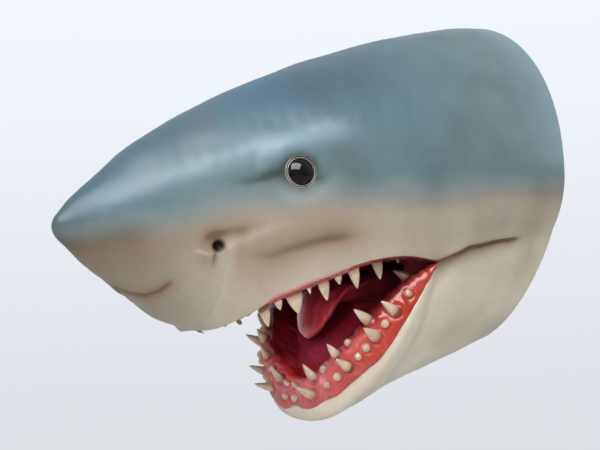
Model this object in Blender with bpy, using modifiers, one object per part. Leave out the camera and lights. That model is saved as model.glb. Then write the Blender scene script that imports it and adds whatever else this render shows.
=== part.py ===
"""Head of a great white shark with its mouth open, a painted fibreglass casting for a wall.

Metres, +Z up. The wall is the plane y = 0 and the head juts out along -Y. +X is the shark's left.
The origin is on the wall, in the middle of the neck's rim. "Forward" is the distance from the wall,
so a point that is 0.5 forward has y = -0.5. Along a lip, q is 0 at the front of the mouth, 1 at the
left corner and -1 at the right one.
"""
import math

import bmesh
import bpy
import numpy as np
from mathutils import Matrix, Vector

GAP = 0.0003                 # parting between neighbours that touch

# Driving sizes of the head
LENGTH = 0.808               # wall to the tip of the snout
HALF_WIDTH = 0.248           # at the wall
CROWN_RISE = 0.376           # top of the neck above the tip of the snout
TIP_Z = -0.093
NECK_BOTTOM_Z = -0.276
KEEL_DROP = 0.226            # how deep the snout's underside would come if it ran on to the wall

# Mouth: the corner is x, forward, z
CORNER = (0.200, 0.240, -0.151)
UPPER_LIP_FORWARD = 0.580
UPPER_LIP_DROP = 0.099       # front of the upper lip below the corner
LOWER_LIP_FORWARD = 0.3732
LOWER_LIP_DROP = 0.2227      # front of the lower lip below the corner
GRIN = 0.100                 # how much the upper lip bows up ahead of the corner
SEAM_WALL = (0.216, 0.0, -0.094)   # where the fold behind the corner meets the wall

# Underside of neck and jaw on the centre line: forward, z
BELLY = ((0.0, NECK_BOTTOM_Z), (0.10, -0.317), (0.20, -0.352), (0.28, -0.378),
         (0.335, -0.392), (0.362, -0.395), (LOWER_LIP_FORWARD, CORNER[2] - LOWER_LIP_DROP))

# Cuts between the named parts: forward
NECK_CUT = 0.2445
SNOUT_CUT = 0.625
GAPE_Z = -0.1518                   # middle of the gape at the neck cut
GAPE_TILT = math.radians(37.0)     # and its slope, below the horizontal

# Gums: rolls of flesh just inside the lips, half as wide as RADIUS says, as high as HEIGHT
LIP_EDGE = 0.003
GUM_SINK = 0.005                   # bed of the gum below the lip
UPPER_TILT = math.radians(16.0)    # planes of the two lips, below the horizontal
LOWER_TILT = math.radians(58.0)
UPPER_GUM_RADIUS = (0.020, 0.024)  # at the front, at the sides
UPPER_GUM_HEIGHT = (0.005, 0.006)
LOWER_GUM_RADIUS = (0.024, 0.034)
LOWER_GUM_HEIGHT = (0.026, 0.038)
CORNER_GUM_RADIUS = 0.008
SIDE_FROM_Q = 0.55                 # the gum has its side size from here on
GUM_ARCH_STEPS = 5

# Throat, palate and floor
THROAT_FORWARD = 0.185
THROAT_HALF_WIDTH = 0.095
THROAT_RISE = 0.045
THROAT_Z = -0.165
THROAT_END = 0.125
PALATE_RISE = 0.052
FLOOR_DROP = 0.045

# Teeth: place q, angle across the gum in degrees (0 at the lip, 90 on its crest), lean outwards
# in degrees, height above the gum. A height of BUD is a low stump.
BUD = 0.006
LOWER_LEFT_TEETH = (
    (0.000, 35, 0, BUD), (0.152, 35, 15, 0.0345), (0.290, 35, 0, BUD), (0.373, 35, 0, BUD),
    (0.450, 35, 5, 0.0275), (0.527, 35, 0, BUD), (0.583, 35, 0, BUD), (0.648, 35, 20, 0.0340),
    (0.713, 35, 0, BUD), (0.776, 35, -12, 0.0290), (0.858, 35, 0, BUD),
    (0.006, 84, 0, 0.012), (0.200, 84, -15, 0.0300), (0.305, 84, 0, BUD), (0.430, 84, -24, 0.0250),
    (0.530, 84, 0, BUD), (0.680, 84, -4, 0.0310), (0.905, 84, -7, 0.0260))
LOWER_RIGHT_TEETH = (
    (-0.100, 35, 0, BUD), (-0.263, 35, 28, 0.0360), (-0.325, 35, 0, BUD), (-0.375, 35, 0, BUD),
    (-0.429, 35, 22, 0.0300), (-0.504, 35, 0, BUD), (-0.552, 35, 0, BUD), (-0.640, 35, 18, 0.0330),
    (-0.713, 35, 0, BUD), (-0.776, 35, -8, 0.0290), (-0.858, 35, 0, BUD),
    (-0.090, 84, 0, 0.012), (-0.190, 84, -11, 0.0300), (-0.310, 84, 0, BUD),
    (-0.440, 84, -14, 0.0260), (-0.580, 84, -12, 0.0290), (-0.690, 84, -11, 0.0310))
UPPER_SIDE_TEETH = (
    (0.440, 50, -12, 0.0300), (0.495, 50, 0, 0.0150), (0.565, 50, 0, 0.0350), (0.608, 50, 0, 0.0100),
    (0.655, 50, 0, 0.0300), (0.704, 50, 0, 0.0140), (0.752, 50, 0, 0.0310), (0.825, 60, 0, 0.0280),
    (0.885, 60, 0, 0.0070))
UPPER_FRONT_TEETH = (
    (0.050, 50, -50, 0.0085), (0.190, 110, -70, 0.0110), (0.326, 50, -58, 0.0090),
    (-0.110, 118, -70, 0.0110), (-0.230, 110, -65, 0.0100), (-0.335, 70, -50, 0.0110))
TOOTH_LEAST_WIDTH = 0.0070
TOOTH_WIDENING = 0.34              # width gained for each metre of height
TOOTH_THICKNESS = 0.72             # across the jaw, as a share of the width
TOOTH_ROOT = 0.004                 # below the gum
TOOTH_HOOK = 0.10                  # how far the tip bends back, as a share of the height
TOOTH_SIDES = 6
SMALL_TOOTH = 0.0145               # teeth up to this height are blunt cones

# Tongue: forward and z of its back's centre line, half width, depth below that line
TONGUE = ((0.130, -0.158, 0.030, 0.020), (0.160, -0.156, 0.048, 0.038), (0.190, -0.156, 0.056, 0.050),
          (0.240, -0.163, 0.060, 0.042), (0.285, -0.178, 0.061, 0.028), (0.312, -0.185, 0.060, 0.021),
          (0.331, -0.204, 0.053, 0.016), (0.346, -0.236, 0.037, 0.013))
TONGUE_TIP = (0.356, -0.262)
TONGUE_CROWN = 0.008
TONGUE_SIDES = 12

# Eye and nostril of the left side, mirrored for the right: x, forward, z on the skin
EYE = (0.160, 0.474, -0.013)
EYE_RADIUS = 0.0240
EYE_SINK = 0.0110                  # centre of the ball below the skin
EYE_RING_RADIUS = 0.0260
EYE_RING_RISE = 0.0030
EYE_RING_DEPTH = 0.0050
EYE_RING_ROUND = 0.0018
EYE_SIDES = 14
EYE_ROWS = 6
SOCKET_TOP = 0.030
NOSTRIL = (0.104, 0.588, -0.126)
NOSTRIL_RADIUS = 0.0085
NOSTRIL_DEPTH = 0.014
NOSTRIL_SIDES = 10

# Board let into the back, and the steel plate that hangs it on a screw
BOARD_INSET = 0.010                # from the rim of the neck
BOARD_THICKNESS = 0.012
PLATE_Z = 0.170
PLATE_SIZE = (0.060, 0.0025, 0.034)
KEYHOLE_RADIUS = 0.0050
KEYHOLE_SLOT = (0.0050, 0.0120)    # width and length
SCREW_SPACE = (0.040, 0.018, 0.024)  # cut about the back face, so half as deep

# Samples along and round the head
SNOUT_ROWS = 8
LIP_ROWS = 14
NECK_ROWS = 5
CROWN_STEPS = 8
FLANK_STEPS = 5
BELLY_STEPS = 6
GUM_ROWS = LIP_ROWS - 1            # the gums stop one row short of the corners

SKIN_COLOUR = (0.10, 0.20, 0.24, 1)
GUM_COLOUR = (0.55, 0.12, 0.10, 1)
TONGUE_COLOUR = (0.42, 0.14, 0.12, 1)
EYE_COLOUR = (0.01, 0.01, 0.012, 1)
RING_COLOUR = (0.32, 0.33, 0.30, 1)
BOARD_COLOUR = (0.50, 0.36, 0.20, 1)
STEEL_COLOUR = (0.62, 0.62, 0.63, 1)


def clear_scene():
    for thing in list(bpy.data.objects):
        bpy.data.objects.remove(thing, do_unlink=True)


def crown_z(forward):
    """Height of the back along the centre line."""
    return TIP_Z + CROWN_RISE * (1 - (forward / LENGTH) ** 1.35) ** 0.70


def half_width(forward):
    return HALF_WIDTH * (1 - (forward / LENGTH) ** 1.6) ** 0.75


def widest_z(forward):
    return TIP_Z * (forward / LENGTH) ** 1.2


def keel_z(forward):
    """Underside of the snout on the centre line."""
    return TIP_Z - KEEL_DROP * (1 - (forward / LENGTH) ** 3) ** 0.85


def crown_power(forward):
    """Exponent of the oval that rounds the head above its widest level."""
    return 2.0 + 0.15 * (1 - forward / LENGTH)


def upper_lip(q):
    """Point of the upper lip: x, forward, z."""
    v = 1 - q * q
    x = CORNER[0] * math.sqrt(max(1 - v ** 1.6, 0)) * (1 if q >= 0 else -1)
    forward = CORNER[1] + (UPPER_LIP_FORWARD - CORNER[1]) * v
    drop = UPPER_LIP_DROP * (1 - (1 - v ** 3) ** 1.5)
    z = CORNER[2] - drop + GRIN * v * (1 - v) ** 3
    return np.array((x, forward, z))


def lower_lip(q):
    """Point of the lower lip: x, forward, z."""
    u = 1 - q * q
    x = CORNER[0] * math.sqrt(max(1 - u ** 2.07, 0)) * (1 if q >= 0 else -1)
    forward = CORNER[1] + (LOWER_LIP_FORWARD - CORNER[1]) * u ** 0.88
    return np.array((x, forward, CORNER[2] - LOWER_LIP_DROP * u))


def seam(g):
    """Fold of skin behind the corner, g = 0 at the corner and 1 at the wall."""
    start, end = np.array(CORNER), np.array(SEAM_WALL)
    point = start + (end - start) * g
    point[2] = start[2] + (end[2] - start[2]) * g ** 0.8
    return point


def flank_section(forward, end_x, end_z):
    """Left half of a section, from the lip or keel up round the flank to the crown.

    Both quarters are ovals about the widest level; the lower one passes through the end point.
    """
    width, level, top = half_width(forward), widest_z(forward), crown_z(forward)
    share = min(end_x / width, 0.999)
    depth = (level - end_z) / math.sqrt(1 - share ** 2)
    points = []
    for turn in np.linspace(math.acos(share), 0, FLANK_STEPS + 1):
        points.append((width * math.cos(turn), -forward, level - depth * math.sin(turn)))
    power = 2 / crown_power(forward)
    for turn in np.linspace(0, math.pi / 2, CROWN_STEPS + 1)[1:]:
        x = width * max(math.cos(turn), 0) ** power
        points.append((x, -forward, level + (top - level) * math.sin(turn) ** power))
    points[-1] = (0, -forward, top)
    return points


def belly_at(share):
    """Point of the underside line for forward = share of its whole length."""
    forward = [p[0] for p in BELLY]
    z = [p[1] for p in BELLY]
    reach = share * forward[-1]
    return np.array((0, reach, np.interp(reach, forward, z)))


def belly_section(start, lean, end, fullness):
    """Left half of the underside, a cubic curve from a lip or seam point to the centre line."""
    start, end = np.array(start), np.array(end)
    chord = np.linalg.norm(end - start)
    first = start + 0.30 * chord * lean / np.linalg.norm(lean)
    second = end + np.array((fullness * start[0], 0, 0))
    points = []
    for t in np.linspace(0, 1, BELLY_STEPS + 1):
        p = (1 - t) ** 3 * start + 3 * (1 - t) ** 2 * t * first
        p = p + 3 * (1 - t) * t * t * second + t ** 3 * end
        points.append((p[0], -p[1], p[2]))
    return points


def both_sides(left_half):
    """A whole section from a left half that ends on the centre line."""
    return left_half + [(-x, y, z) for x, y, z in reversed(left_half[:-1])]


def corner_fade(q):
    """1 along the jaw, falling to 0 at the corner."""
    return 1 - abs(q) ** 8


def side_share(q):
    """0 at the front of the mouth, rising to 1 along its sides."""
    t = min(abs(q) / SIDE_FROM_Q, 1)
    return t * t * (3 - 2 * t)


def between(four, t):
    """Smooth curve from the second to the third of four points."""
    a, b, c, d = four
    return 0.5 * ((2 * b) + (c - a) * t + (2 * a - 5 * b + 4 * c - d) * t ** 2
                  + (3 * b - a - 3 * c + d) * t ** 3)


class Jaw:
    """One jaw's mouth side: its gum and its share of the mouth's lining.

    side is -1 for the upper jaw and 1 for the lower one.
    """

    def __init__(self, lip, tilt, side, radii, heights, arch):
        self.lip, self.tilt, self.side = lip, tilt, side
        self.radii, self.heights, self.arch = radii, heights, arch

    def frame(self, q):
        """Lip point, and unit vectors along the lip, inwards across the gum, and into the mouth."""
        step = 0.01
        before, after = self.lip(max(q - step, -1)), self.lip(min(q + step, 1))
        along = Vector((after[0] - before[0], before[1] - after[1], after[2] - before[2]))
        normal = Vector((0, -self.side * math.sin(self.tilt), self.side * math.cos(self.tilt)))
        inward = (normal.cross(along) * self.side).normalized()
        x, forward, z = self.lip(q)
        return Vector((x, -forward, z)), along.normalized(), inward, normal

    def radius(self, q):
        full = self.radii[0] + (self.radii[1] - self.radii[0]) * side_share(q)
        return CORNER_GUM_RADIUS + (full - CORNER_GUM_RADIUS) * corner_fade(q)

    def height(self, q):
        full = self.heights[0] + (self.heights[1] - self.heights[0]) * side_share(q)
        return full * corner_fade(q)

    def bed(self, q, across):
        """Point of the bed under the gum, across = 0 at the lip's edge and 1 at the inner side."""
        origin, _, inward, normal = self.frame(q)
        reach = LIP_EDGE + 2 * self.radius(q) * across
        return origin + inward * reach - normal * GUM_SINK * corner_fade(q)

    def roll(self, q, angle):
        """Point of the gum's rounded surface, angle 0 at the lip and pi at the inner side."""
        origin, _, inward, normal = self.frame(q)
        radius = self.radius(q) - GAP
        reach = LIP_EDGE + GAP + radius * (1 - math.cos(angle))
        return origin + inward * reach + normal * (self.height(q) * math.sin(angle) + GAP)

    def middle(self, q):
        """Deepest part of the palate or of the mouth's floor."""
        x, forward, z = self.lip(q)
        share = 0.62
        lift = self.arch * (1 - q ** 4)
        normal = self.frame(q)[3]
        point = Vector((0.58 * x, -CORNER[1] - share * (forward - CORNER[1]),
                        CORNER[2] + share * (z - CORNER[2])))
        return point - normal * lift

    def throat(self, q):
        turn = math.pi / 2 * q
        return Vector((THROAT_HALF_WIDTH * math.sin(turn), -THROAT_FORWARD,
                       THROAT_Z - self.side * THROAT_RISE * math.cos(turn)))

    def lining(self, q, steps):
        """Points from the gum's inner side over the palate or floor, ending in the throat."""
        end = Vector((0, -THROAT_END, THROAT_Z))
        keys = [self.bed(q, 0.8), self.bed(q, 1), self.middle(q), self.throat(q), end, end]
        points = []
        for k in range(1, 4):
            for step in range(1, steps + 1):
                points.append(between(keys[k - 1:k + 3], step / steps))
        return points


UPPER = Jaw(upper_lip, UPPER_TILT, -1, UPPER_GUM_RADIUS, UPPER_GUM_HEIGHT, PALATE_RISE)
LOWER = Jaw(lower_lip, LOWER_TILT, 1, LOWER_GUM_RADIUS, LOWER_GUM_HEIGHT, FLOOR_DROP)


def add_grid(bm, rows):
    """Adds a grid of points as triangles; points that coincide are welded later."""
    verts = [[bm.verts.new(p) for p in row] for row in rows]
    for row, following in zip(verts, verts[1:]):
        for k in range(len(row) - 1):
            a, b, c, d = row[k], following[k], following[k + 1], row[k + 1]
            bm.faces.new((a, b, c))
            bm.faces.new((a, c, d))


def add_loft(bm, rings, tip=None):
    """Adds a closed body through rings of equally many points, ending in a tip if there is one."""
    verts = [[bm.verts.new(p) for p in ring] for ring in rings]
    count = len(rings[0])
    for ring, following in zip(verts, verts[1:]):
        for k in range(count):
            a, b = ring[k], ring[(k + 1) % count]
            c, d = following[(k + 1) % count], following[k]
            bm.faces.new((a, b, d))
            bm.faces.new((b, c, d))
    bm.faces.new(list(reversed(verts[0])))
    if tip is None:
        bm.faces.new(verts[-1])
        return
    point = bm.verts.new(tip)
    for k in range(count):
        bm.faces.new((verts[-1][k], verts[-1][(k + 1) % count], point))


def face_outwards(bm):
    bmesh.ops.recalc_face_normals(bm, faces=bm.faces)


def new_object(name, bm, collection, material=None):
    mesh = bpy.data.meshes.new(name)
    bm.to_mesh(mesh)
    bm.free()
    return place(name, mesh, collection, material)


def place(name, mesh, collection, material=None):
    thing = bpy.data.objects.new(name, mesh)
    collection.objects.link(thing)
    if material and not mesh.materials:
        mesh.materials.append(material)
    if collection.name == 'Cutters':
        thing.hide_render = True
        thing.display_type = 'WIRE'
    return thing


def boolean(target, cutter, operation):
    modifier = target.modifiers.new(operation.lower() + '_' + cutter.name, 'BOOLEAN')
    modifier.operation = operation
    modifier.solver = 'EXACT'
    modifier.object = cutter


def new_material(name, colour, roughness, metallic=0.0):
    material = bpy.data.materials.new(name)
    material.use_nodes = True
    shader = material.node_tree.nodes['Principled BSDF']
    shader.inputs['Base Color'].default_value = colour
    shader.inputs['Roughness'].default_value = roughness
    shader.inputs['Metallic'].default_value = metallic
    return material


def head_rows():
    """Sections of the upper head from the tip of the snout to the wall."""
    rows = []
    for share in np.linspace(0, 1, SNOUT_ROWS + 1)[1:-1]:
        forward = LENGTH - (LENGTH - UPPER_LIP_FORWARD) * share ** 1.7
        rows.append(flank_section(forward, 0, keel_z(forward)))
    for q in np.linspace(0, 1, LIP_ROWS + 1):
        x, forward, z = upper_lip(q)
        rows.append(flank_section(forward, x, z))
    for g in np.linspace(0, 1, NECK_ROWS + 1)[1:]:
        x, forward, z = seam(g)
        rows.append(flank_section(forward, x, z))
    rows = [both_sides(row) for row in rows]
    return [[(0, -LENGTH, TIP_Z)] * len(rows[0])] + rows


def belly_rows():
    """Sections of the underside from the wall to the front of the lower lip."""
    rows = []
    for g in np.linspace(1, 0, NECK_ROWS + 1):
        start = seam(g)
        lean = np.array((-0.45 + 0.20 * (1 - g), 0, -1.0))
        end = belly_at(start[1] / BELLY[-1][0])
        rows.append(belly_section(start, lean, end, 0.42))
    for q in np.linspace(1, 0, LIP_ROWS + 1)[1:]:
        start = lower_lip(q)
        u = 1 - q * q
        lean = np.array((-0.25 + 0.45 * u, 0.10 * u, -1.0))
        end = belly_at((CORNER[1] + (BELLY[-1][0] - CORNER[1]) * u) / BELLY[-1][0])
        rows.append(belly_section(start, lean, end, 0.42 + 0.13 * u))
    return [both_sides(row) for row in rows]


def mouth_rows(jaw):
    """Strips from the lip to the throat, one for each place along the lip, right to left."""
    rows = []
    for q in np.linspace(-1, 1, 2 * LIP_ROWS + 1):
        origin, _, inward, _ = jaw.frame(q)
        strip = [origin, origin + inward * LIP_EDGE, jaw.bed(q, 0), jaw.bed(q, 1)]
        rows.append(strip + jaw.lining(q, 2))
    return rows


def head_mesh():
    """The casting in one closed piece, with its mouth hollow and a flat back on the wall."""
    bm = bmesh.new()
    add_grid(bm, head_rows())
    add_grid(bm, belly_rows())
    add_grid(bm, mouth_rows(UPPER))
    add_grid(bm, mouth_rows(LOWER))
    bmesh.ops.remove_doubles(bm, verts=bm.verts, dist=0.00002)
    bmesh.ops.dissolve_degenerate(bm, dist=0.00001, edges=bm.edges)
    rim = [edge for edge in bm.edges if edge.is_boundary]
    bmesh.ops.contextual_create(bm, geom=rim)
    face_outwards(bm)
    mesh = bpy.data.meshes.new('casting')
    bm.to_mesh(mesh)
    bm.free()
    return mesh


def slab(name, outline, along, collection, material=None):
    """A flat outline of points drawn out along a vector."""
    bm = bmesh.new()
    face = bm.faces.new([bm.verts.new(point) for point in outline])
    drawn = bmesh.ops.extrude_face_region(bm, geom=[face])['geom']
    moving = [item for item in drawn if isinstance(item, bmesh.types.BMVert)]
    bmesh.ops.translate(bm, vec=along, verts=moving)
    face_outwards(bm)
    return new_object(name, bm, collection, material)


def part_outlines():
    """Outlines of forward and z that hold each named part of the casting."""
    front, back, high, low = 1.0, -0.1, 0.6, -0.6
    half = GAP / 2
    slope = math.tan(GAPE_TILT)
    rise = half / math.cos(GAPE_TILT)

    def gape(forward):
        return GAPE_Z - slope * (forward - NECK_CUT)

    neck, start, snout = NECK_CUT - half, NECK_CUT + half, SNOUT_CUT
    return {
        'snout': ((snout + half, low), (front, low), (front, high), (snout + half, high)),
        'head': ((start, gape(start) + rise), (snout - half, gape(snout) + rise),
                 (snout - half, high), (start, high)),
        'lower_jaw': ((start, low), (snout - half, low), (snout - half, gape(snout) - rise),
                      (start, gape(start) - rise)),
        'neck': ((back, low), (neck, low), (neck, high), (back, high)),
    }


def gum(name, jaw, teeth, parts, cutters, material):
    """A roll of gum in its bed, joined with its teeth."""
    rings = []
    for row in range(-GUM_ROWS, GUM_ROWS + 1):
        q = row / LIP_ROWS
        normal, inward = jaw.frame(q)[3], jaw.frame(q)[2]
        ring = [jaw.roll(q, angle) for angle in np.linspace(0, math.pi, GUM_ARCH_STEPS + 1)]
        ring.append(jaw.bed(q, 1) + normal * GAP - inward * GAP)
        ring.append(jaw.bed(q, 0) + normal * GAP + inward * GAP)
        rings.append(ring)
    bm = bmesh.new()
    add_loft(bm, rings)
    face_outwards(bm)
    roll = new_object(name, bm, parts, material)
    bm = bmesh.new()
    for tooth in teeth:
        add_tooth(bm, jaw, *tooth)
    face_outwards(bm)
    boolean(roll, new_object(name + '_teeth', bm, cutters), 'UNION')


def add_tooth(bm, jaw, q, degrees, lean, height):
    """A hooked cone that stands on the gum; its tip bends back into the mouth."""
    _, along, inward, normal = jaw.frame(q)
    foot = jaw.roll(q, math.radians(degrees))
    lean = math.radians(lean)
    up = normal * math.cos(lean) - inward * math.sin(lean)
    across = along.cross(up).normalized()
    if across.dot(inward) < 0:
        across = -across
    width = TOOTH_LEAST_WIDTH + TOOTH_WIDENING * height
    levels = ((0, 1.0), (0.40, 0.80), (0.76, 0.42)) if height > SMALL_TOOTH else ((0, 1.0), (0.65, 0.70))
    rings = []
    for level, share in ((-TOOTH_ROOT / height, 0.9),) + levels:
        centre = foot + up * height * level + across * TOOTH_HOOK * height * max(level, 0) ** 2
        ring = []
        for turn in np.linspace(0, 2 * math.pi, TOOTH_SIDES + 1)[:-1]:
            ring.append(centre + along * (width / 2 * share * math.cos(turn))
                        + across * (width / 2 * TOOTH_THICKNESS * share * math.sin(turn)))
        rings.append(ring)
    add_loft(bm, rings, foot + up * height + across * TOOTH_HOOK * height)


def tongue_mesh(swell=0.0):
    """The tongue from its root in the throat to its tip, swollen all round for the socket."""
    bm = bmesh.new()
    rings = []
    stations = list(TONGUE) + [TONGUE_TIP + (0, 0)]
    for k, (forward, z, half, depth) in enumerate(TONGUE):
        before, after = stations[max(k - 1, 0)], stations[k + 1]
        along = Vector((0, before[0] - after[0], after[1] - before[1])).normalized()
        up = Vector((1, 0, 0)).cross(along)
        if up.z < 0:
            up = -up
        centre = Vector((0, -forward, z))
        if k == 0:
            centre -= along * swell
        ring = []
        for turn in np.linspace(0, 2 * math.pi, TONGUE_SIDES + 1)[:-1]:
            rise = (TONGUE_CROWN if math.sin(turn) > 0 else depth) + swell
            ring.append(centre + Vector((1, 0, 0)) * (half + swell) * math.cos(turn)
                        + up * rise * math.sin(turn))
        rings.append(ring)
    add_loft(bm, rings, (0, -TONGUE_TIP[0] - swell, TONGUE_TIP[1] - swell))
    face_outwards(bm)
    return bm


def skin_x(forward, z):
    """Half width of the head at this place ahead of the mouth or above its widest level."""
    width, level = half_width(forward), widest_z(forward)
    if z > level:
        share, power = (z - level) / (crown_z(forward) - level), crown_power(forward)
    else:
        share, power = (level - z) / (level - keel_z(forward)), 2.0
    return width * (1 - share ** power) ** (1 / power)


def skin_axes(place_on_skin, side):
    """Point on the skin, and unit vectors forward along it, up along it, and out of it."""
    _, forward, z = place_on_skin
    step = 0.002
    slope_f = (skin_x(forward + step, z) - skin_x(forward - step, z)) / (2 * step)
    slope_z = (skin_x(forward, z + step) - skin_x(forward, z - step)) / (2 * step)
    out = Vector((side, slope_f, -slope_z)).normalized()
    ahead = Vector((0, -1, 0))
    ahead = (ahead - out * ahead.dot(out)).normalized()
    return Vector((side * skin_x(forward, z), -forward, z)), ahead, out.cross(ahead), out


def on_skin(thing, axes):
    """Stands an object on the skin: its X forward, its Z out of the skin."""
    origin, ahead, up, out = axes
    turn = Matrix((ahead, up, out)).transposed()
    thing.matrix_world = Matrix.Translation(origin) @ turn.to_4x4()


def turned(name, profile, axes, collection, material=None, closed=False):
    """A profile of radii and heights, outer side downwards, turned about the way out of the skin."""
    bm = bmesh.new()
    verts = [bm.verts.new((radius, 0, rise)) for radius, rise in profile]
    for first, second in zip(verts, verts[1:] + verts[:closed]):
        bm.edges.new((first, second))
    thing = new_object(name, bm, collection, material)
    screw = thing.modifiers.new('turn', 'SCREW')
    screw.axis = 'Z'
    screw.steps = screw.render_steps = EYE_SIDES
    screw.use_merge_vertices = True
    screw.merge_threshold = 0.00001
    on_skin(thing, axes)
    return thing


def ball_radius(rise, swell=0.0):
    """Radius of the eye ball at a height above the skin."""
    return math.sqrt(max((EYE_RADIUS + swell) ** 2 - (rise + EYE_SINK) ** 2, 0))


def eye(side_name, side, head, parts, cutters, glass, ring_paint):
    """A glass ball sunk in its socket, and the lid ring that holds it."""
    axes = skin_axes(EYE, side)
    bm = bmesh.new()
    bmesh.ops.create_uvsphere(bm, u_segments=EYE_SIDES, v_segments=EYE_ROWS, radius=EYE_RADIUS)
    bmesh.ops.rotate(bm, matrix=Matrix.Rotation(math.pi / EYE_SIDES, 3, 'Z'), verts=bm.verts)
    bmesh.ops.translate(bm, vec=(0, 0, -EYE_SINK), verts=bm.verts)
    on_skin(new_object('eye_' + side_name, bm, parts, glass), axes)

    floor, top = -EYE_RING_DEPTH, EYE_RING_RISE
    inner = [(ball_radius(rise, GAP), rise) for rise in (floor, 0.0, 0.6 * top)]
    outer = [(EYE_RING_RADIUS - EYE_RING_ROUND, top), (EYE_RING_RADIUS, 0.0), (EYE_RING_RADIUS, floor)]
    crest = [(inner[-1][0] + EYE_RING_ROUND, top)]
    turned('eye_ring_' + side_name, outer + inner + crest, axes, parts, ring_paint, closed=True)

    floor -= GAP
    wide = EYE_RING_RADIUS + GAP
    rises = [-EYE_SINK - EYE_RADIUS * math.cos(math.pi * row / EYE_ROWS) for row in range(EYE_ROWS)]
    bowl = [(ball_radius(rise, 2 * GAP), rise) for rise in [floor] + [r for r in rises[:0:-1] if r < floor]]
    socket = [(0, SOCKET_TOP), (wide, SOCKET_TOP), (wide, floor)] + bowl + [(0, rises[0] - GAP)]
    boolean(head, turned('eye_socket_' + side_name, socket, axes, cutters), 'DIFFERENCE')


def nostril(side_name, side, head, cutters):
    """A blind hole that narrows inwards."""
    bm = bmesh.new()
    bmesh.ops.create_cone(bm, cap_ends=True, segments=NOSTRIL_SIDES, radius1=0.7 * NOSTRIL_RADIUS,
                          radius2=1.3 * NOSTRIL_RADIUS, depth=2 * NOSTRIL_DEPTH)
    hole = new_object('nostril_' + side_name, bm, cutters)
    on_skin(hole, skin_axes(NOSTRIL, side))
    boolean(head, hole, 'DIFFERENCE')


def box(name, size, centre, collection, material=None):
    bm = bmesh.new()
    bmesh.ops.create_cube(bm, size=1.0)
    bmesh.ops.scale(bm, vec=size, verts=bm.verts)
    thing = new_object(name, bm, collection, material)
    thing.location = centre
    return thing


def board_outline(inset):
    """Outline of the neck's back, drawn in towards the origin by the inset."""
    start = seam(1)
    flank = both_sides(flank_section(0, start[0], start[2]))
    lean = np.array((-0.45, 0, -1.0))
    under = both_sides(belly_section(start, lean, belly_at(0), 0.42))
    outline = flank[::2] + list(reversed(under[2:-1:2]))
    return [Vector((x, 0, z)) * (1 - inset / math.hypot(x, z)) for x, _, z in outline]


def back_board(neck, parts, cutters, wood, steel):
    """The board in the neck's back, with the plate that hangs on a screw head."""
    deep = BOARD_THICKNESS + GAP
    front = [point - Vector((0, deep, 0)) for point in board_outline(BOARD_INSET - GAP)]
    boolean(neck, slab('board_recess', front, (0, 2 * deep, 0), cutters), 'DIFFERENCE')
    board = slab('back_board', board_outline(BOARD_INSET), (0, -BOARD_THICKNESS, 0), parts, wood)

    width, thick, tall = PLATE_SIZE
    plate = box('hanger_plate', PLATE_SIZE, (0, -thick / 2, PLATE_Z), parts, steel)
    pocket_size = (width + 2 * GAP, 2 * (thick + GAP), tall + 2 * GAP)
    pocket = box('plate_pocket', pocket_size, (0, 0, PLATE_Z), cutters)
    boolean(board, pocket, 'DIFFERENCE')
    boolean(board, box('screw_space', SCREW_SPACE, (0, 0, PLATE_Z), cutters), 'DIFFERENCE')

    slot_width, slot_length = KEYHOLE_SLOT
    low = PLATE_Z - slot_length / 2
    outline = []
    for turn in np.linspace(math.radians(120), math.radians(420), 13):
        outline.append((KEYHOLE_RADIUS * math.cos(turn), 0.01, low + KEYHOLE_RADIUS * math.sin(turn)))
    outline += [(slot_width / 2, 0.01, low + slot_length), (-slot_width / 2, 0.01, low + slot_length)]
    boolean(plate, slab('keyhole', outline, (0, -0.02, 0), cutters), 'DIFFERENCE')


def main():
    clear_scene()
    parts = bpy.data.collections.new('shark_head')
    cutters = bpy.data.collections.new('Cutters')
    for collection in (parts, cutters):
        bpy.context.scene.collection.children.link(collection)
    skin = new_material('skin', SKIN_COLOUR, 0.35)
    flesh = new_material('gum', GUM_COLOUR, 0.15)
    glass = new_material('eye', EYE_COLOUR, 0.05)
    ring_paint = new_material('eye_ring', RING_COLOUR, 0.4)

    casting = head_mesh()
    casting.materials.append(skin)
    pieces = {}
    for name, outline in part_outlines().items():
        pieces[name] = place(name, casting, parts)
        side = [(-1, -forward, z) for forward, z in outline]
        boolean(pieces[name], slab(name + '_hold', side, (2, 0, 0), cutters), 'INTERSECT')

    new_object('tongue', tongue_mesh(), parts, new_material('tongue', TONGUE_COLOUR, 0.25))
    tongue_socket = new_object('tongue_socket', tongue_mesh(GAP), cutters)
    boolean(pieces['neck'], tongue_socket, 'DIFFERENCE')

    gum('lower_gum', LOWER, LOWER_LEFT_TEETH + LOWER_RIGHT_TEETH, parts, cutters, flesh)
    mirrored = tuple((-tooth[0],) + tooth[1:] for tooth in UPPER_SIDE_TEETH)
    gum('upper_gum', UPPER, UPPER_SIDE_TEETH + mirrored + UPPER_FRONT_TEETH, parts, cutters, flesh)

    for side_name, side in (('left', 1), ('right', -1)):
        eye(side_name, side, pieces['head'], parts, cutters, glass, ring_paint)
        nostril(side_name, side, pieces['head'], cutters)
    back_board(pieces['neck'], parts, cutters, new_material('plywood', BOARD_COLOUR, 0.7),
               new_material('steel', STEEL_COLOUR, 0.35, 1.0))


main()
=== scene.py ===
"""Finish of a great white shark head with its mouth open: a painted fibreglass casting with a flat back.

Metres, +Z up. The flat back is the plane y = 0 and the head juts out along -Y; +X is the shark's left.
"Forward" is the distance from the back. Along a lip, q is 0 at the front of the mouth, 1 at the left
corner and -1 at the right one. New pieces are surfaces of two parameters, worked out with numpy.
"""
import math

import bmesh
import bpy
import numpy as np
from mathutils import Matrix, Vector

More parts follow.
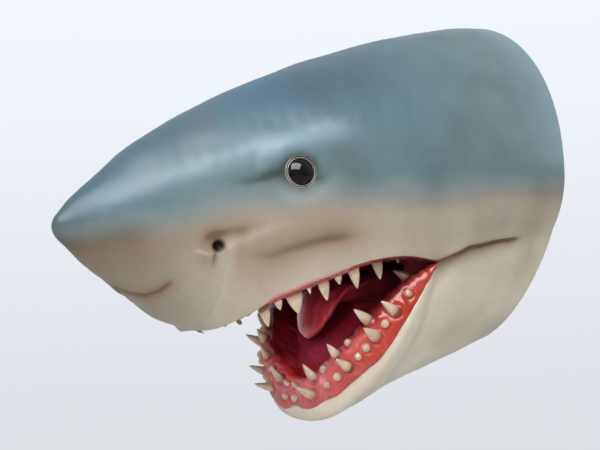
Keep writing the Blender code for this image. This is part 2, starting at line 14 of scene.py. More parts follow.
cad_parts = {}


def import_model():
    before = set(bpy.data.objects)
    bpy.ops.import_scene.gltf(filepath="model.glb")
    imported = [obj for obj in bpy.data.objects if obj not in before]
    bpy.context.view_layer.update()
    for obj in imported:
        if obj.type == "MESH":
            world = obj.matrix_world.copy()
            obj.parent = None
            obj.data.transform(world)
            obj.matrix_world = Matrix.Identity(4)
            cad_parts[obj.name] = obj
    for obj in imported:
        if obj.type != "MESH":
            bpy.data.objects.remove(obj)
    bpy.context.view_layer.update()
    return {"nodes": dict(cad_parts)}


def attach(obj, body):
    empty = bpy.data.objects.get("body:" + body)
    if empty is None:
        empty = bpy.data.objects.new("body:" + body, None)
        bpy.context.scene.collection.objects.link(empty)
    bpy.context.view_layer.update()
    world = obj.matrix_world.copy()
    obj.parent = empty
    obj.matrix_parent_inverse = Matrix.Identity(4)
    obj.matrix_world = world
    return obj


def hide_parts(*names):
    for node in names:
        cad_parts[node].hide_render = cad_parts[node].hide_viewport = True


# Driving sizes, as in the solids
GAP = 0.0003
LENGTH = 0.808
HALF_WIDTH = 0.248
CROWN_RISE = 0.376
TIP_Z = -0.093
KEEL_DROP = 0.226
CORNER = (0.2, 0.24, -0.151)
UPPER_LIP_FORWARD = 0.58
UPPER_LIP_DROP = 0.099
LOWER_LIP_FORWARD = 0.3732
LOWER_LIP_DROP = 0.2227
GRIN = 0.1
SEAM_BACK = (0.216, 0.0, -0.094)
BELLY = ((0.0, -0.276), (0.06, -0.297), (0.12, -0.316), (0.18, -0.3355), (0.24, -0.3577), (0.29, -0.3745),
         (0.335, -0.3875), (0.362, -0.3935), (LOWER_LIP_FORWARD, CORNER[2] - LOWER_LIP_DROP))
BOARD_INSET = 0.01
BOARD_THICKNESS = 0.012

# Soft swellings of an outline: height, middle and width, along forward or along q
CROWN_WAVES = ((-0.0062, 0.735, 0.05),)
KEEL_WAVES = ((0.003, 0.722, 0.022), (-0.0052, 0.63, 0.026))
UPPER_LIP_WAVES = ((0.0044, 0.485, 0.06), (-0.0028, 0.69, 0.065), (0.0032, 0.0, 0.12))
# Fullness just behind the tip: height and reach
CROWN_TIP, WIDTH_TIP, KEEL_TIP = (0.004, 0.009), (0.004, 0.015), (-0.0068, 0.024)
# The keel's small hook where it meets the upper lip: length and depth
KEEL_HOOK = (0.0096, 0.0012)

# Mouth
UPPER_TILT = math.radians(16.0)
LOWER_TILT = math.radians(58.0)
LIP_ROUND = 0.0015
LIP_EDGE = 0.003
GUM_SINK = 0.005
CORNER_GUM_RADIUS = 0.008
SIDE_FROM_Q = 0.55
MIDDLE_SHARE, MIDDLE_WIDTH = 0.62, 0.58
THROAT_FORWARD = 0.185
THROAT_HALF_WIDTH = 0.095
THROAT_RISE = 0.045
THROAT_Z = -0.165
THROAT_END = 0.125
FLESH_THICKNESS = 0.0012
# The pocket behind the flesh: how far each of its rings lies behind the flesh, how far in from the lip's
# rounding the second one is, how much wider the one at the throat is, and its end behind the throat's
POCKET_DEPTHS = np.array((0, 0.0012, 0.007, 0.008, 0.012, 0.006, 0))
POCKET_INSET = 0.0055
POCKET_WIDENING = 1.12
POCKET_BEHIND = 0.004

# Teeth: place q, angle across the gum in degrees, lean outwards in degrees, height above the gum
BUD = 0.006
LOWER_LEFT_TEETH = (
    (0.0, 35, 0, BUD), (0.152, 35, 15, 0.0345), (0.29, 35, 0, BUD), (0.373, 35, 0, BUD),
    (0.45, 35, 5, 0.0275), (0.527, 35, 0, BUD), (0.583, 35, 0, BUD), (0.648, 35, 20, 0.034),
    (0.713, 35, 0, BUD), (0.776, 35, -12, 0.029), (0.858, 35, 0, BUD),
    (0.006, 84, 0, 0.012), (0.2, 84, -15, 0.03), (0.305, 84, 0, BUD), (0.43, 84, -24, 0.025),
    (0.53, 84, 0, BUD), (0.68, 84, -4, 0.031), (0.92, 128, -24, 0.025))
LOWER_RIGHT_TEETH = (
    (-0.1, 35, 0, BUD), (-0.263, 35, 28, 0.036), (-0.325, 35, 0, BUD), (-0.375, 35, 0, BUD),
    (-0.429, 35, 22, 0.03), (-0.504, 35, 0, BUD), (-0.552, 35, 0, BUD), (-0.64, 35, 18, 0.033),
    (-0.713, 35, 0, BUD), (-0.776, 35, -8, 0.029), (-0.858, 35, 0, BUD),
    (-0.09, 84, 0, 0.012), (-0.19, 84, -11, 0.03), (-0.31, 84, 0, BUD),
    (-0.44, 84, -14, 0.026), (-0.58, 84, -12, 0.029), (-0.69, 84, -11, 0.031))
UPPER_SIDE_TEETH = (
    (0.44, 50, -12, 0.03), (0.495, 50, 0, 0.015), (0.555, 50, 0, 0.031), (0.608, 50, 0, 0.01),
    (0.655, 50, 0, 0.03), (0.704, 50, 0, 0.014), (0.752, 50, 0, 0.031), (0.825, 60, 0, 0.028),
    (0.885, 60, 0, 0.007))
UPPER_FRONT_TEETH = (
    (0.05, 50, -50, 0.01), (0.19, 140, -70, 0.0065), (0.326, 50, -58, 0.0105),
    (-0.11, 118, -70, 0.011), (-0.23, 110, -65, 0.01), (-0.335, 70, -50, 0.011))
UPPER_TEETH = UPPER_SIDE_TEETH + tuple((-q, *rest) for q, *rest in UPPER_SIDE_TEETH) + UPPER_FRONT_TEETH
LOWER_TEETH = LOWER_LEFT_TEETH + LOWER_RIGHT_TEETH
TOOTH_LEAST_WIDTH = 0.007
TOOTH_WIDENING = 0.34
TOOTH_HOOK = 0.1
SMALL_TOOTH, SMALL_BREADTH = 0.0115, 0.62
BROAD_TOOTH_Q, BROAD_TOOTH_EXTRA, BROAD_TOOTH_REACH = 0.555, 0.42, 0.02
BUD_RADIUS = 0.0064
# By jaw, -1 above and 1 below: thickness and breadth of the teeth, depth of their roots, and the place q
# from which teeth and gum are painted darker as shade in the corner
TOOTH_THICKNESS = {-1: 0.6, 1: 0.74}
TOOTH_BREADTH = {-1: 1.1, 1: 1.04}
TOOTH_ROOT = {-1: 0.012, 1: 0.004}
TOOTH_SHADE_FROM = {-1: 0.8, 1: 0.87}
GUM_SHADE_FROM = {-1: 0.7, 1: 0.86}
# How far the lower gum laps out over the lip: place q, metres; below 0 it stops inside the lip
LAP = ((-1, 0), (-0.35, 0.002), (-0.25, 0.009), (-0.15, 0.008), (-0.055, -0.0015), (0, 0.0008),
       (0.09, 0.0032), (0.2, 0), (0.32, 0.0008), (0.43, -0.004), (0.5, -0.001), (0.6, 0.0035),
       (0.66, 0.0025), (0.75, 0), (0.9, -0.001), (1, 0))
UPPER_GUM_HIDDEN = 0.45
# The hump on the mouth's floor and the purple painted sheen beside it
FLOOR_HUMP, HUMP_HEIGHT, HUMP_WIDTH = (-0.012, -0.325, -0.305), 0.011, 0.03
FLOOR_SHEEN, SHEEN_WIDTH = (-0.054, -0.292, -0.29), 0.04

# Tongue: forward and z of its back's centre line, half width, depth below that line
TONGUE = ((0.13, -0.158, 0.03, 0.02), (0.16, -0.156, 0.048, 0.038), (0.19, -0.156, 0.056, 0.05),
          (0.24, -0.163, 0.06, 0.042), (0.285, -0.178, 0.061, 0.028), (0.312, -0.185, 0.06, 0.021),
          (0.331, -0.204, 0.053, 0.016), (0.346, -0.236, 0.042, 0.013), (0.356, -0.262, 0.034, 0.012))
TONGUE_ROUND = 0.8
TONGUE_CROWN = 0.008

# Eye and nostril of the left side: x, forward, z on the skin
EYE = (0.16, 0.4765, -0.016)
EYE_RADIUS = 0.024
EYE_SINK = 0.011
EYE_TURN = (-0.26, 0.07)
# Reach of the flat round the eye, and the width of its soft edge
EYE_FLAT, EYE_FLAT_EDGE = 0.074, 0.048
NOSTRIL = np.array((0.113, -0.5945, -0.1262))
NOSTRIL_RADIUS, NOSTRIL_DEPTH = 0.0122, 0.015
# Section of the double ring round the eye: radius and height above the skin
RING_SECTION = np.array((
    (0.0203, -0.003), (0.0207, 0.0018), (0.0212, 0.0028), (0.0218, 0.0028), (0.0223, 0.0016),
    (0.0229, 0.0006), (0.0235, 0.0016), (0.0243, 0.0023), (0.0252, 0.0014), (0.026, -0.0006),
    (0.026, -0.004), (0.0225, -0.0048), (0.0203, -0.003)))
RING_INSIDE, RING_WIDTH = 0.02, 0.006

# Modelled lines of the left side, in x, y, z
SMILE = ((0.0, -0.707, -0.1815), (0.0138, -0.689, -0.1905), (0.0298, -0.673, -0.194),
         (0.048, -0.661, -0.1893), (0.0657, -0.651, -0.1777), (0.0758, -0.645, -0.1679))
BROW = ((0.0206, -0.789, -0.0817), (0.0443, -0.752, -0.0654), (0.076, -0.687, -0.0369),
        (0.1038, -0.618, -0.0133), (0.1187, -0.575, 0.002), (0.1359, -0.514, 0.0259),
        (0.1497, -0.468, 0.0376), (0.162, -0.42, 0.0513), (0.1811, -0.357, 0.0559))
LID_CREASE = ((0.1207, -0.593, -0.0378), (0.1308, -0.566, -0.0332), (0.1411, -0.537, -0.0286),
              (0.1483, -0.515, -0.0224), (0.1534, -0.498, -0.0177))
TEMPLE_CREASE = ((0.1687, -0.454, -0.0249), (0.1729, -0.441, -0.0263), (0.18, -0.418, -0.022))
NOSE_FLAP = ((0.0985, -0.63, -0.13), (0.1038, -0.6146, -0.1356), (0.1086, -0.6005, -0.1392))
NOSE_GROOVE = ((0.1088, -0.598, -0.1388), (0.1063, -0.598, -0.1488), (0.102, -0.597, -0.1603))
NOSE_RIDGE = ((0.1175, -0.587, -0.1259), (0.13, -0.559, -0.116), (0.1416, -0.531, -0.1044),
              (0.1522, -0.502, -0.0956), (0.16, -0.478, -0.09))
NOSE_SHADE = ((0.1009, -0.633, -0.1182), (0.1121, -0.609, -0.1112), (0.1228, -0.584, -0.1041),
              (0.1349, -0.553, -0.0985), (0.1479, -0.517, -0.0912))
NOSE_HOLLOW = ((0.1168, -0.581, -0.1361), (0.1277, -0.55, -0.1408), (0.139, -0.518, -0.1397),
               (0.1518, -0.485, -0.1296), (0.1611, -0.458, -0.1223), (0.1699, -0.4305, -0.1164),
               (0.1784, -0.401, -0.1119), (0.1866, -0.368, -0.1103), (0.1928, -0.338, -0.1132))
CHEEK = ((0.2, -0.24, -0.151), (0.2013, -0.22, -0.143), (0.2038, -0.201, -0.135),
         (0.207, -0.182, -0.126), (0.2075, -0.1605, -0.123), (0.2097, -0.129, -0.116),
         (0.2106, -0.108, -0.113), (0.2104, -0.085, -0.111), (0.211, -0.06, -0.108))
# Folds of the skin: line, how far it stands out (below 0 it is a groove), width, and the shares of the line
# over which its start and its finish fade away (0 leaves that end full)
FOLDS = (
    (SMILE, -0.0022, 0.0055, 0, 0.35), (SMILE, 0.0006, 0.02, 0, 0.35), (BROW, 0.0036, 0.024, 0.3, 0.15),
    (LID_CREASE, -0.0026, 0.006, 0.6, 0.1), (TEMPLE_CREASE, -0.002, 0.006, 0.1, 0.6),
    (NOSE_RIDGE, 0.0018, 0.01, 0.1, 0.5), (NOSE_HOLLOW, -0.0019, 0.014, 0.3, 0.4),
    (NOSE_FLAP, 0.002, 0.0034, 0.3, 0.05), (NOSE_GROOVE, -0.0024, 0.0026, 0, 0.5))

# Middle of the soft border between the blue back and the cream underside: forward, z
BORDER = ((0.0, -0.026), (0.138, -0.034), (0.28, -0.047), (0.403, -0.05), (0.5, -0.056),
          (0.582, -0.0705), (0.671, -0.094), (0.753, -0.109), (0.808, -0.12))
# Airbrush strokes of each paint: line, strength, width, and the shares over which its two ends fade
STROKES = {
    # Brown strokes: painted shade in the snout's crease, the nose's groove and above the nostril, and brown
    # paint with painted shade in the nose's hollow.
    'brown': (
        (SMILE, 0.5, 0.0055, 0, 0.25), (SMILE, 0.42, 0.015, 0, 0.25), (NOSE_HOLLOW, 0.16, 0.007, 0.3, 0.4),
        (NOSE_HOLLOW, 0.29, 0.019, 0.3, 0.4), (NOSE_HOLLOW, 0.46, 0.041, 0.08, 0.3),
        (NOSE_SHADE, 0.25, 0.008, 0.4, 0.45), (NOSE_SHADE, 0.34, 0.016, 0.4, 0.45),
        (NOSE_GROOVE, 0.6, 0.004, 0, 0.5)),
    # Dark grey strokes: painted shade in the creases before and behind the eye.
    'dusk': (
        (LID_CREASE, 0.8, 0.0065, 0.7, 0.02), (LID_CREASE, 0.35, 0.017, 0.7, 0.02),
        (TEMPLE_CREASE, 0.55, 0.007, 0.02, 0.7), (TEMPLE_CREASE, 0.2, 0.016, 0.02, 0.7)),
    # Pale strokes: painted highlights along the nose's ridge and the nostril's flap.
    'pale': ((NOSE_RIDGE, 0.62, 0.0075, 0.05, 0.8), (NOSE_FLAP, 0.75, 0.0032, 0.3, 0.05))}
# Airbrush spots of each paint: middle, strength, size
SPOTS = {
    # Brown spots: painted shade above and below the nostril.
    'brown': (((0.11, -0.6065, -0.1162), 0.46, 0.021), ((0.1043, -0.61, -0.1468), 0.4, 0.015)),
    'dusk': (
        ((0.122, -0.346, 0.15), 0.3, 0.075), ((0.106, -0.434, 0.121), 0.3, 0.06),
        ((0.188, -0.385, -0.019), 0.3, 0.03), ((0.175, -0.412, 0.019), 0.3, 0.026),
        ((0.15, -0.512, -0.02), 0.3, 0.026), ((0.0, -0.812, -0.088), 0.3, 0.04),
        ((0.06, -0.64, 0.075), 0.3, 0.08)),
    'pale': ()}
# Smoky bands along the border: strength, where they set in forward and over what length, middle above the
# border, width
BANDS = {
    'brown': ((0.2, 0.38, 0.1, -0.03, 0.022), (0.15, 0.62, 0.1, -0.026, 0.03),
              (0.28, 0.66, 0.06, -0.014, 0.018)),
    'dusk': ((0.58, 0.66, 0.07, -0.006, 0.016),),
    'pale': ()}

# Grid counts and spacings
ROLL_COLUMNS = np.array((0, 0.0003, 0.0007, 0.0012, 0.002, 0.0032))
ROLL_STEP = 0.012
RIM_ROWS = np.array((0.0028, 0.0018, 0.0009, 0.0003, 0.0))
SNOUT_FORWARD = 0.64
# Places q along the lips and the gum; a power below 1 brings them closer together at the corners
UPPER_Q = np.linspace(0, 1, 131) ** 0.85
LOWER_Q = np.linspace(1, 0, 85)
GUM_Q = np.linspace(-1, 1, 461)
GUM_Q = np.sign(GUM_Q) * np.abs(GUM_Q) ** 0.9
GUM_ANGLES = np.concatenate([[0, 0.012, 0.028], np.linspace(0.05, math.pi, 58)])
LINING_ROWS = 35
TOOTH_RINGS = 18

# Camera and stage
CAMERA_PLACE = (1.8191, -1.6857, -0.2752)
CAMERA_TARGET = (0.0461, -0.3974, -0.0834)
CAMERA_ROLL = math.radians(-1.7)
CAMERA_LENS = 82.8
FLOOR_Z = -1.3
FLOOR_SIZE = 8.0
# Panels of light: name, place, target, size, power, colour, spread in degrees, and the rays that miss it
LIGHTS = (
    ('window', (1.05, -1.8, 1.88), (0.1, -0.45, 0.0), (3.2, 2.4), 62, (1.0, 0.99, 0.98), 180, ''),
    ('window_shine', (1.04, -1.786, 1.861), (0.1, -0.45, 0.0), (2.8, 2.2), 200, (1.0, 1.0, 1.0), 180,
     'diffuse'),
    ('side_fill', (2.35, -0.75, -0.8), (0.1, -0.3, -0.1), (1.6, 1.2), 5.5, (1.0, 0.98, 0.95), 180, 'glossy'),
    ('front_fill', (0.95, -2.2, -0.55), (0.1, -0.4, -0.24), (1.4, 1.0), 3.0, (1.0, 0.97, 0.95), 180,
     'glossy'),
    ('rear_fill', (1.9, 0.9, -0.7), (0.1, -0.28, -0.2), (1.6, 1.2), 5.0, (1.0, 0.98, 0.95), 180, 'glossy'),
    ('mouth_fill', (1.45, -1.8, -0.22), (0.0, -0.3, -0.25), (0.3, 0.3), 0.26, (1.0, 0.96, 0.94), 13,
     'glossy'))
ROOM_COLOURS = ((0.0, (0.5, 0.5, 0.5)), (0.45, (0.7, 0.72, 0.76)), (0.62, (0.9, 0.94, 1.0)),
                (1.0, (1.0, 1.0, 1.0)))
ROOM_AS_LIGHT = 0.66


# ---------------------------------------------------------------- curves and patterns

def smooth(t):
    """Soft step from 0 to 1: t squared times (3 - 2t)."""
    t = np.clip(t, 0, 1)
    return t * t * (3 - 2 * t)


def bell(distance, width):
    """Bell curve: e to the minus square of distance over width."""
    return np.exp(-(distance / width) ** 2)


def waves(x, rows):
    """Sum of bell curves, each with its height, middle and width."""
    return sum(height * bell(x - middle, width) for height, middle, width in rows)


def through(x, keys):
    """Smooth curve through (x, y) keys: a cubic between neighbours, with slopes from the keys beside them."""
    keys = np.array(keys, float)
    xs, ys = keys[:, 0], keys[:, 1]
    slopes = np.gradient(ys, xs)
    k = np.clip(np.searchsorted(xs, x) - 1, 0, len(xs) - 2)
    h = xs[k + 1] - xs[k]
    t = np.clip((x - xs[k]) / h, 0, 1)
    return ((2 * t ** 3 - 3 * t ** 2 + 1) * ys[k] + (t ** 3 - 2 * t ** 2 + t) * h * slopes[k]
            + (3 * t ** 2 - 2 * t ** 3) * ys[k + 1] + (t ** 3 - t ** 2) * h * slopes[k + 1])


def chain(keys, t):
    """Points on a Catmull-Rom curve through key arrays; t runs from 0 at the first to 1 at the last.

    keys is a list of arrays of points, so that one call draws a whole sheet of curves.
    """
    keys = [2 * keys[0] - keys[1]] + list(keys) + [2 * keys[-1] - keys[-2]]
    rows = []
    for reach in np.asarray(t) * (len(keys) - 3):
        k = min(int(reach), len(keys) - 4)
        s = reach - k
        a, b, c, d = keys[k:k + 4]
        rows.append(0.5 * (2 * b + (c - a) * s + (2 * a - 5 * b + 4 * c - d) * s ** 2
                           + (3 * b - a - 3 * c + d) * s ** 3))
    return np.stack(rows)


def lengths(vectors):
    """Length of each vector: root of the sum of squares along the last axis."""
    return np.linalg.norm(vectors, axis=-1)


def near(points, path):
    """Distance from each point to a chain of straight lines, the nearest point of the chain,
    and how far along the chain that is, from 0 to 1."""
    path = np.array(path, float)
    best = np.full(len(points), np.inf)
    nearest = np.zeros_like(points)
    along = np.zeros(len(points))
    for k in range(len(path) - 1):
        step = path[k + 1] - path[k]
        t = np.clip((points - path[k]) @ step / (step @ step), 0, 1)
        foot = path[k] + t[:, None] * step
        distance = lengths(points - foot)
        closer = distance < best
        best = np.where(closer, distance, best)
        nearest = np.where(closer[:, None], foot, nearest)
        along = np.where(closer, (k + t) / (len(path) - 1), along)
    return best, nearest, along


def fade(along, start, finish):
    """1 along a line, falling to 0 over the start and the finish; a share of 0 leaves that end full."""
    return (smooth(along / start) if start else 1) * (smooth((1 - along) / finish) if finish else 1)


def stroke(points, line, width, start, finish):
    """A soft line at each point: a bell of the distance from it, fading towards its ends."""
    distance, _, along = near(points, line)
    return bell(distance, width) * fade(along, start, finish)


def hum(points, seed, size):
    """Soft unevenness between about -1 and 1: a sum of sine waves in fixed random directions."""
    draw = np.random.default_rng(seed)
    total = np.zeros(points.shape[:-1])
    for _ in range(7):
        way = draw.normal(size=3)
        way = way / np.linalg.norm(way) * 2 * math.pi / size * draw.uniform(0.7, 1.6)
        total += np.sin(points @ way + draw.uniform(0, 2 * math.pi))
    return total / 3


def unit(vectors):
    """Each vector over its own length."""
    return vectors / np.maximum(lengths(vectors)[..., None], 1e-12)


def quarter_round(distance, radius):
    """How far a rounded edge has drawn in at a distance from it: a quarter circle of the radius."""
    left = np.clip(1 - distance / radius, 0, 1)
    return radius * (1 - np.sqrt(1 - left ** 2))


# ---------------------------------------------------------------- meshes

def grid_faces(rows, columns, ring=False, first=0):
    """Quads between neighbouring rows and columns of a grid; a ring joins the last column to the first."""
    row, column = np.meshgrid(np.arange(rows - 1), np.arange(columns - (not ring)), indexing='ij')
    beside = (column + 1) % columns
    quads = np.stack([row * columns + column, row * columns + beside,
                      (row + 1) * columns + beside, (row + 1) * columns + column], -1)
    return first + quads.reshape(-1, 4)


def tube_faces(rows, columns, count=1):
    """Faces of a row of closed tubes: quads round and along each, and a cap on both of its ends."""
    first = np.arange(count)[:, None] * rows * columns
    quads = (grid_faces(rows, columns, ring=True) + first[..., None]).reshape(-1, 4)
    caps = first + np.arange(columns)[::-1]
    tops = first + (rows - 1) * columns + np.arange(columns)
    return quads.tolist() + caps.tolist() + tops.tolist()


def join_grids(grids):
    """One welded mesh from several grids: points, faces, and the welded place of each grid's points.

    Points that agree to a hundredth of a millimetre become one, and quads that lose a corner to a pole
    or a seam become triangles.
    """
    faces, places, first = [], [], 0
    for grid in grids:
        faces.append(grid_faces(grid.shape[0], grid.shape[1], first=first))
        places.append(first + np.arange(grid.shape[0] * grid.shape[1]))
        first += grid.shape[0] * grid.shape[1]
    points = np.concatenate([grid.reshape(-1, 3) for grid in grids])
    rounded = np.round(points, 5) + 0.0
    _, kept, welded = np.unique(rounded, axis=0, return_index=True, return_inverse=True)
    welded = welded.reshape(-1)
    faces = welded[np.concatenate(faces)]
    repeated = faces == np.roll(faces, 1, axis=1)
    whole = faces[repeated.sum(1) == 0]
    cut = repeated.sum(1) == 1
    corners = faces[cut][~repeated[cut]].reshape(-1, 3)
    return points[kept], whole.tolist() + corners.tolist(), [welded[spots] for spots in places]


def new_mesh(name, points, faces, outwards=True):
    """A smooth-shaded mesh; a closed one has its faces turned outwards."""
    mesh = bpy.data.meshes.new(name)
    mesh.from_pydata(points.reshape(-1, 3).tolist(), [], faces)
    mesh.validate()
    mesh.shade_smooth()
    if outwards:
        bm = bmesh.new()
        bm.from_mesh(mesh)
        bmesh.ops.recalc_face_normals(bm, faces=bm.faces)
        bm.to_mesh(mesh)
        bm.free()
    return mesh


def swell(mesh, rise, shift=0):
    """Moves each point along its normal by its rise, and by its shift in x, y and z."""
    normals = np.empty(len(mesh.vertices) * 3)
    mesh.vertex_normals.foreach_get('vector', normals)
    points = np.empty(len(mesh.vertices) * 3)
    mesh.vertices.foreach_get('co', points)
    moved = points.reshape(-1, 3) + normals.reshape(-1, 3) * rise.reshape(-1, 1) + shift
    mesh.vertices.foreach_set('co', moved.reshape(-1))
    mesh.update()


def give(mesh, **values):
    """Stores a number at each vertex under each name, for the paint to read."""
    for name, value in values.items():
        attribute = mesh.attributes.new(name, 'FLOAT', 'POINT')
        attribute.data.foreach_set('value', np.asarray(value, np.float32).reshape(-1))


def place(name, mesh, material, slot, *nodes):
    """Puts a finished mesh in the scene, on the root body and in place of the CAD nodes named."""
    piece = bpy.data.objects.new(name, mesh)
    bpy.context.scene.collection.objects.link(piece)
    mesh.materials.append(material)
    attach(piece, "root")
    if nodes:
        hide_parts(*nodes)
    return piece


# ---------------------------------------------------------------- outline of the head

def blunt(forward, height, reach):
    """Extra fullness just behind the tip: it grows within 2 mm and dies away after the reach."""
    behind = np.maximum(LENGTH - forward, 0)
    return height * (1 - np.exp(-behind / 0.002)) * bell(behind, reach)


def crown_z(forward):
    """Crown line: tip height plus the rise times (1 - share of the length^1.35)^0.70, with its waves."""
    plain = TIP_Z + CROWN_RISE * np.maximum(1 - (forward / LENGTH) ** 1.35, 0) ** 0.7
    return plain + blunt(forward, *CROWN_TIP) + waves(forward, CROWN_WAVES)


def half_width(forward):
    """Half the width: its full value times (1 - share of the length^1.6)^0.75."""
    plain = HALF_WIDTH * np.maximum(1 - (forward / LENGTH) ** 1.6, 0) ** 0.75
    return plain + blunt(forward, *WIDTH_TIP)


def widest_z(forward):
    """Level of the greatest width: it sinks to the tip's height with the length^1.2."""
    return TIP_Z * (forward / LENGTH) ** 1.2


def keel_z(forward):
    """Line under the snout: tip height less the drop times (1 - share of the length^3)^0.85, with waves."""
    plain = TIP_Z - KEEL_DROP * np.maximum(1 - (forward / LENGTH) ** 3, 0) ** 0.85
    return plain + blunt(forward, *KEEL_TIP) + waves(forward, KEEL_WAVES)


def upper_lip(q):
    """Upper lip. With v = 1 - q squared: x = corner x times root of (1 - v^1.6), forward grows with v,
    z drops by 1 - (1 - v cubed)^1.5, bows up by the grin times v (1 - v) cubed, and has its waves."""
    q = np.asarray(q, float)
    v = 1 - q * q
    x = CORNER[0] * np.sqrt(np.maximum(1 - v ** 1.6, 0)) * np.where(q >= 0, 1, -1)
    forward = CORNER[1] + (UPPER_LIP_FORWARD - CORNER[1]) * v
    z = CORNER[2] - UPPER_LIP_DROP * (1 - (1 - v ** 3) ** 1.5) + GRIN * v * (1 - v) ** 3
    return np.stack([x, -forward, z + waves(np.abs(q), UPPER_LIP_WAVES)], -1)


def lower_lip(q):
    """Lower lip. With u = 1 - q squared: x = corner x times root of (1 - u^2.07), forward grows with
    u^0.88 and z drops with u."""
    q = np.asarray(q, float)
    u = 1 - q * q
    x = CORNER[0] * np.sqrt(np.maximum(1 - u ** 2.07, 0)) * np.where(q >= 0, 1, -1)
    forward = CORNER[1] + (LOWER_LIP_FORWARD - CORNER[1]) * u ** 0.88
    return np.stack([x, -forward, CORNER[2] - LOWER_LIP_DROP * u], -1)


def seam(forward):
    """Line behind the corner where the upper and the lower skin meet: x runs straight back, z with the
    share of the way to the power 0.8."""
    forward = np.asarray(forward, float)
    g = 1 - forward / CORNER[1]
    x = CORNER[0] + (SEAM_BACK[0] - CORNER[0]) * g
    z = CORNER[2] + (SEAM_BACK[2] - CORNER[2]) * g ** 0.8
    return np.stack([x, -forward, z], -1)


class Jaw:
    """One jaw's mouth side: its gum, and its share of the mouth's lining. side is -1 above, 1 below;
    radii and heights are the gum's in front and at the sides, arch the depth of palate or floor."""

    def __init__(self, lip, tilt, side, radii, heights, arch):
        self.lip, self.side = lip, side
        self.radii, self.heights, self.arch = radii, heights, arch
        self.normal = np.array((0, -side * math.sin(tilt), side * math.cos(tilt)))

    def along(self, q):
        """Unit vector along the lip, from two places a little before and after q."""
        step = 0.01
        return unit(self.lip(np.minimum(q + step, 1)) - self.lip(np.maximum(q - step, -1)))

    def inward(self, q):
        """Unit vector across the gum towards the middle of the mouth, square to the lip."""
        along = self.along(q)
        return unit(np.cross(np.broadcast_to(self.normal, along.shape), along)) * self.side

    def share(self, q):
        """How much of the gum's full size there is: 1 less the eighth power of q, so 0 at the corners."""
        return 1 - np.abs(q) ** 8

    def grown(self, pair, q):
        """A size that goes from its front value to its side value in a soft step."""
        return pair[0] + (pair[1] - pair[0]) * smooth(np.abs(q) / SIDE_FROM_Q)

    def radius(self, q):
        """Half the gum's width across."""
        return CORNER_GUM_RADIUS + (self.grown(self.radii, q) - CORNER_GUM_RADIUS) * self.share(q)

    def height(self, q):
        """Height of the gum's roll over the lip's plane."""
        return self.grown(self.heights, q) * self.share(q)

    def bed(self, q, across):
        """Point under the gum, sunk below the lip's plane; across is 0 at the lip and 1 inside."""
        reach = LIP_EDGE + 2 * self.radius(q) * across
        return (self.lip(q) + self.inward(q) * reach[..., None]
                - self.normal * GUM_SINK * self.share(q)[..., None])

    def roll(self, q, angle):
        """The gum's rounded surface: a half oval across the gum, angle 0 at the lip and pi inside."""
        reach = LIP_EDGE + GAP + (self.radius(q) - GAP) * (1 - np.cos(angle))
        rise = self.height(q) * np.sin(angle) + GAP
        return self.lip(q) + self.inward(q) * reach[..., None] + self.normal * rise[..., None]

    def middle(self, q):
        """Deepest part of the palate or of the mouth's floor: a share of the way from the corners' line
        to the lip, narrower, and away from the mouth by the arch times (1 - q^4)."""
        lip = self.lip(q)
        corner = np.array((0, -CORNER[1], CORNER[2]))
        point = corner + MIDDLE_SHARE * (lip - corner)
        point[..., 0] = MIDDLE_WIDTH * lip[..., 0]
        return point - self.normal * (self.arch * (1 - q ** 4))[..., None]

    def throat(self, q):
        """Half oval at the throat, from one side over the top, or under, to the other."""
        turn = math.pi / 2 * q
        return np.stack([THROAT_HALF_WIDTH * np.sin(turn), np.full_like(q, -THROAT_FORWARD),
                         THROAT_Z - self.side * THROAT_RISE * np.cos(turn)], -1)


UPPER = Jaw(upper_lip, UPPER_TILT, side=-1, radii=(0.02, 0.024), heights=(0.005, 0.008), arch=0.052)
LOWER = Jaw(lower_lip, LOWER_TILT, side=1, radii=(0.024, 0.034), heights=(0.026, 0.038), arch=0.034)


# ---------------------------------------------------------------- skin

def crowded(count, centre, width, gain):
    """Shares from 0 to 1 that lie closer together round a centre, by a running sum of spacings."""
    even = np.linspace(0, 1, 400)
    density = np.cumsum(1 + gain * bell(even - centre, width))
    density = (density - density[0]) / (density[-1] - density[0])
    return np.interp(np.linspace(0, 1, count), density, even)


def edge_steps(reach, rest):
    """Column places along rows of a given reach: a few fine steps round the lip, then the rest of the row."""
    few = np.minimum(ROLL_COLUMNS / np.maximum(reach, 1e-6), ROLL_STEP * np.arange(len(ROLL_COLUMNS)))
    return np.concatenate([few, few[:, -1:] + (1 - few[:, -1:]) * rest], 1)


def flank_rows(edge):
    """Left side of the upper skin, a row of points for each edge point, from the edge up to the crown.

    Below the widest level a section is a quarter oval that passes through the edge point,
    x = width cos a, z = level - depth sin a. Above it is a quarter superellipse up to the crown.
    """
    forward = -edge[:, 1]
    width, level, top = (v[:, None] for v in (half_width(forward), widest_z(forward), crown_z(forward)))
    share = np.minimum(edge[:, :1] / np.maximum(width, 1e-9), 0.999)
    depth = (level - edge[:, 2:]) / np.sqrt(1 - share ** 2)
    start = np.arccos(share)
    length = start * np.sqrt((width ** 2 + depth ** 2) / 2)
    turn = start * (1 - edge_steps(length, crowded(62, 0.78, 0.09, 2.6)[1:]))
    low_x, low_z = width * np.cos(turn), level - depth * np.sin(turn)
    low_x[:, 0], low_z[:, 0] = edge[:, 0], edge[:, 2]
    power = 2 / (2.0 + 0.15 * (1 - forward[:, None] / LENGTH))
    turn = np.linspace(0, math.pi / 2, 47)[None, 1:]
    high_x = width * np.maximum(np.cos(turn), 0) ** power
    high_z = level + (top - level) * np.sin(turn) ** power
    high_x[:, -1] = 0
    x = np.concatenate([low_x, high_x], 1)
    z = np.concatenate([low_z, high_z], 1)
    return np.stack([x, -forward[:, None] + 0 * x, z], -1)


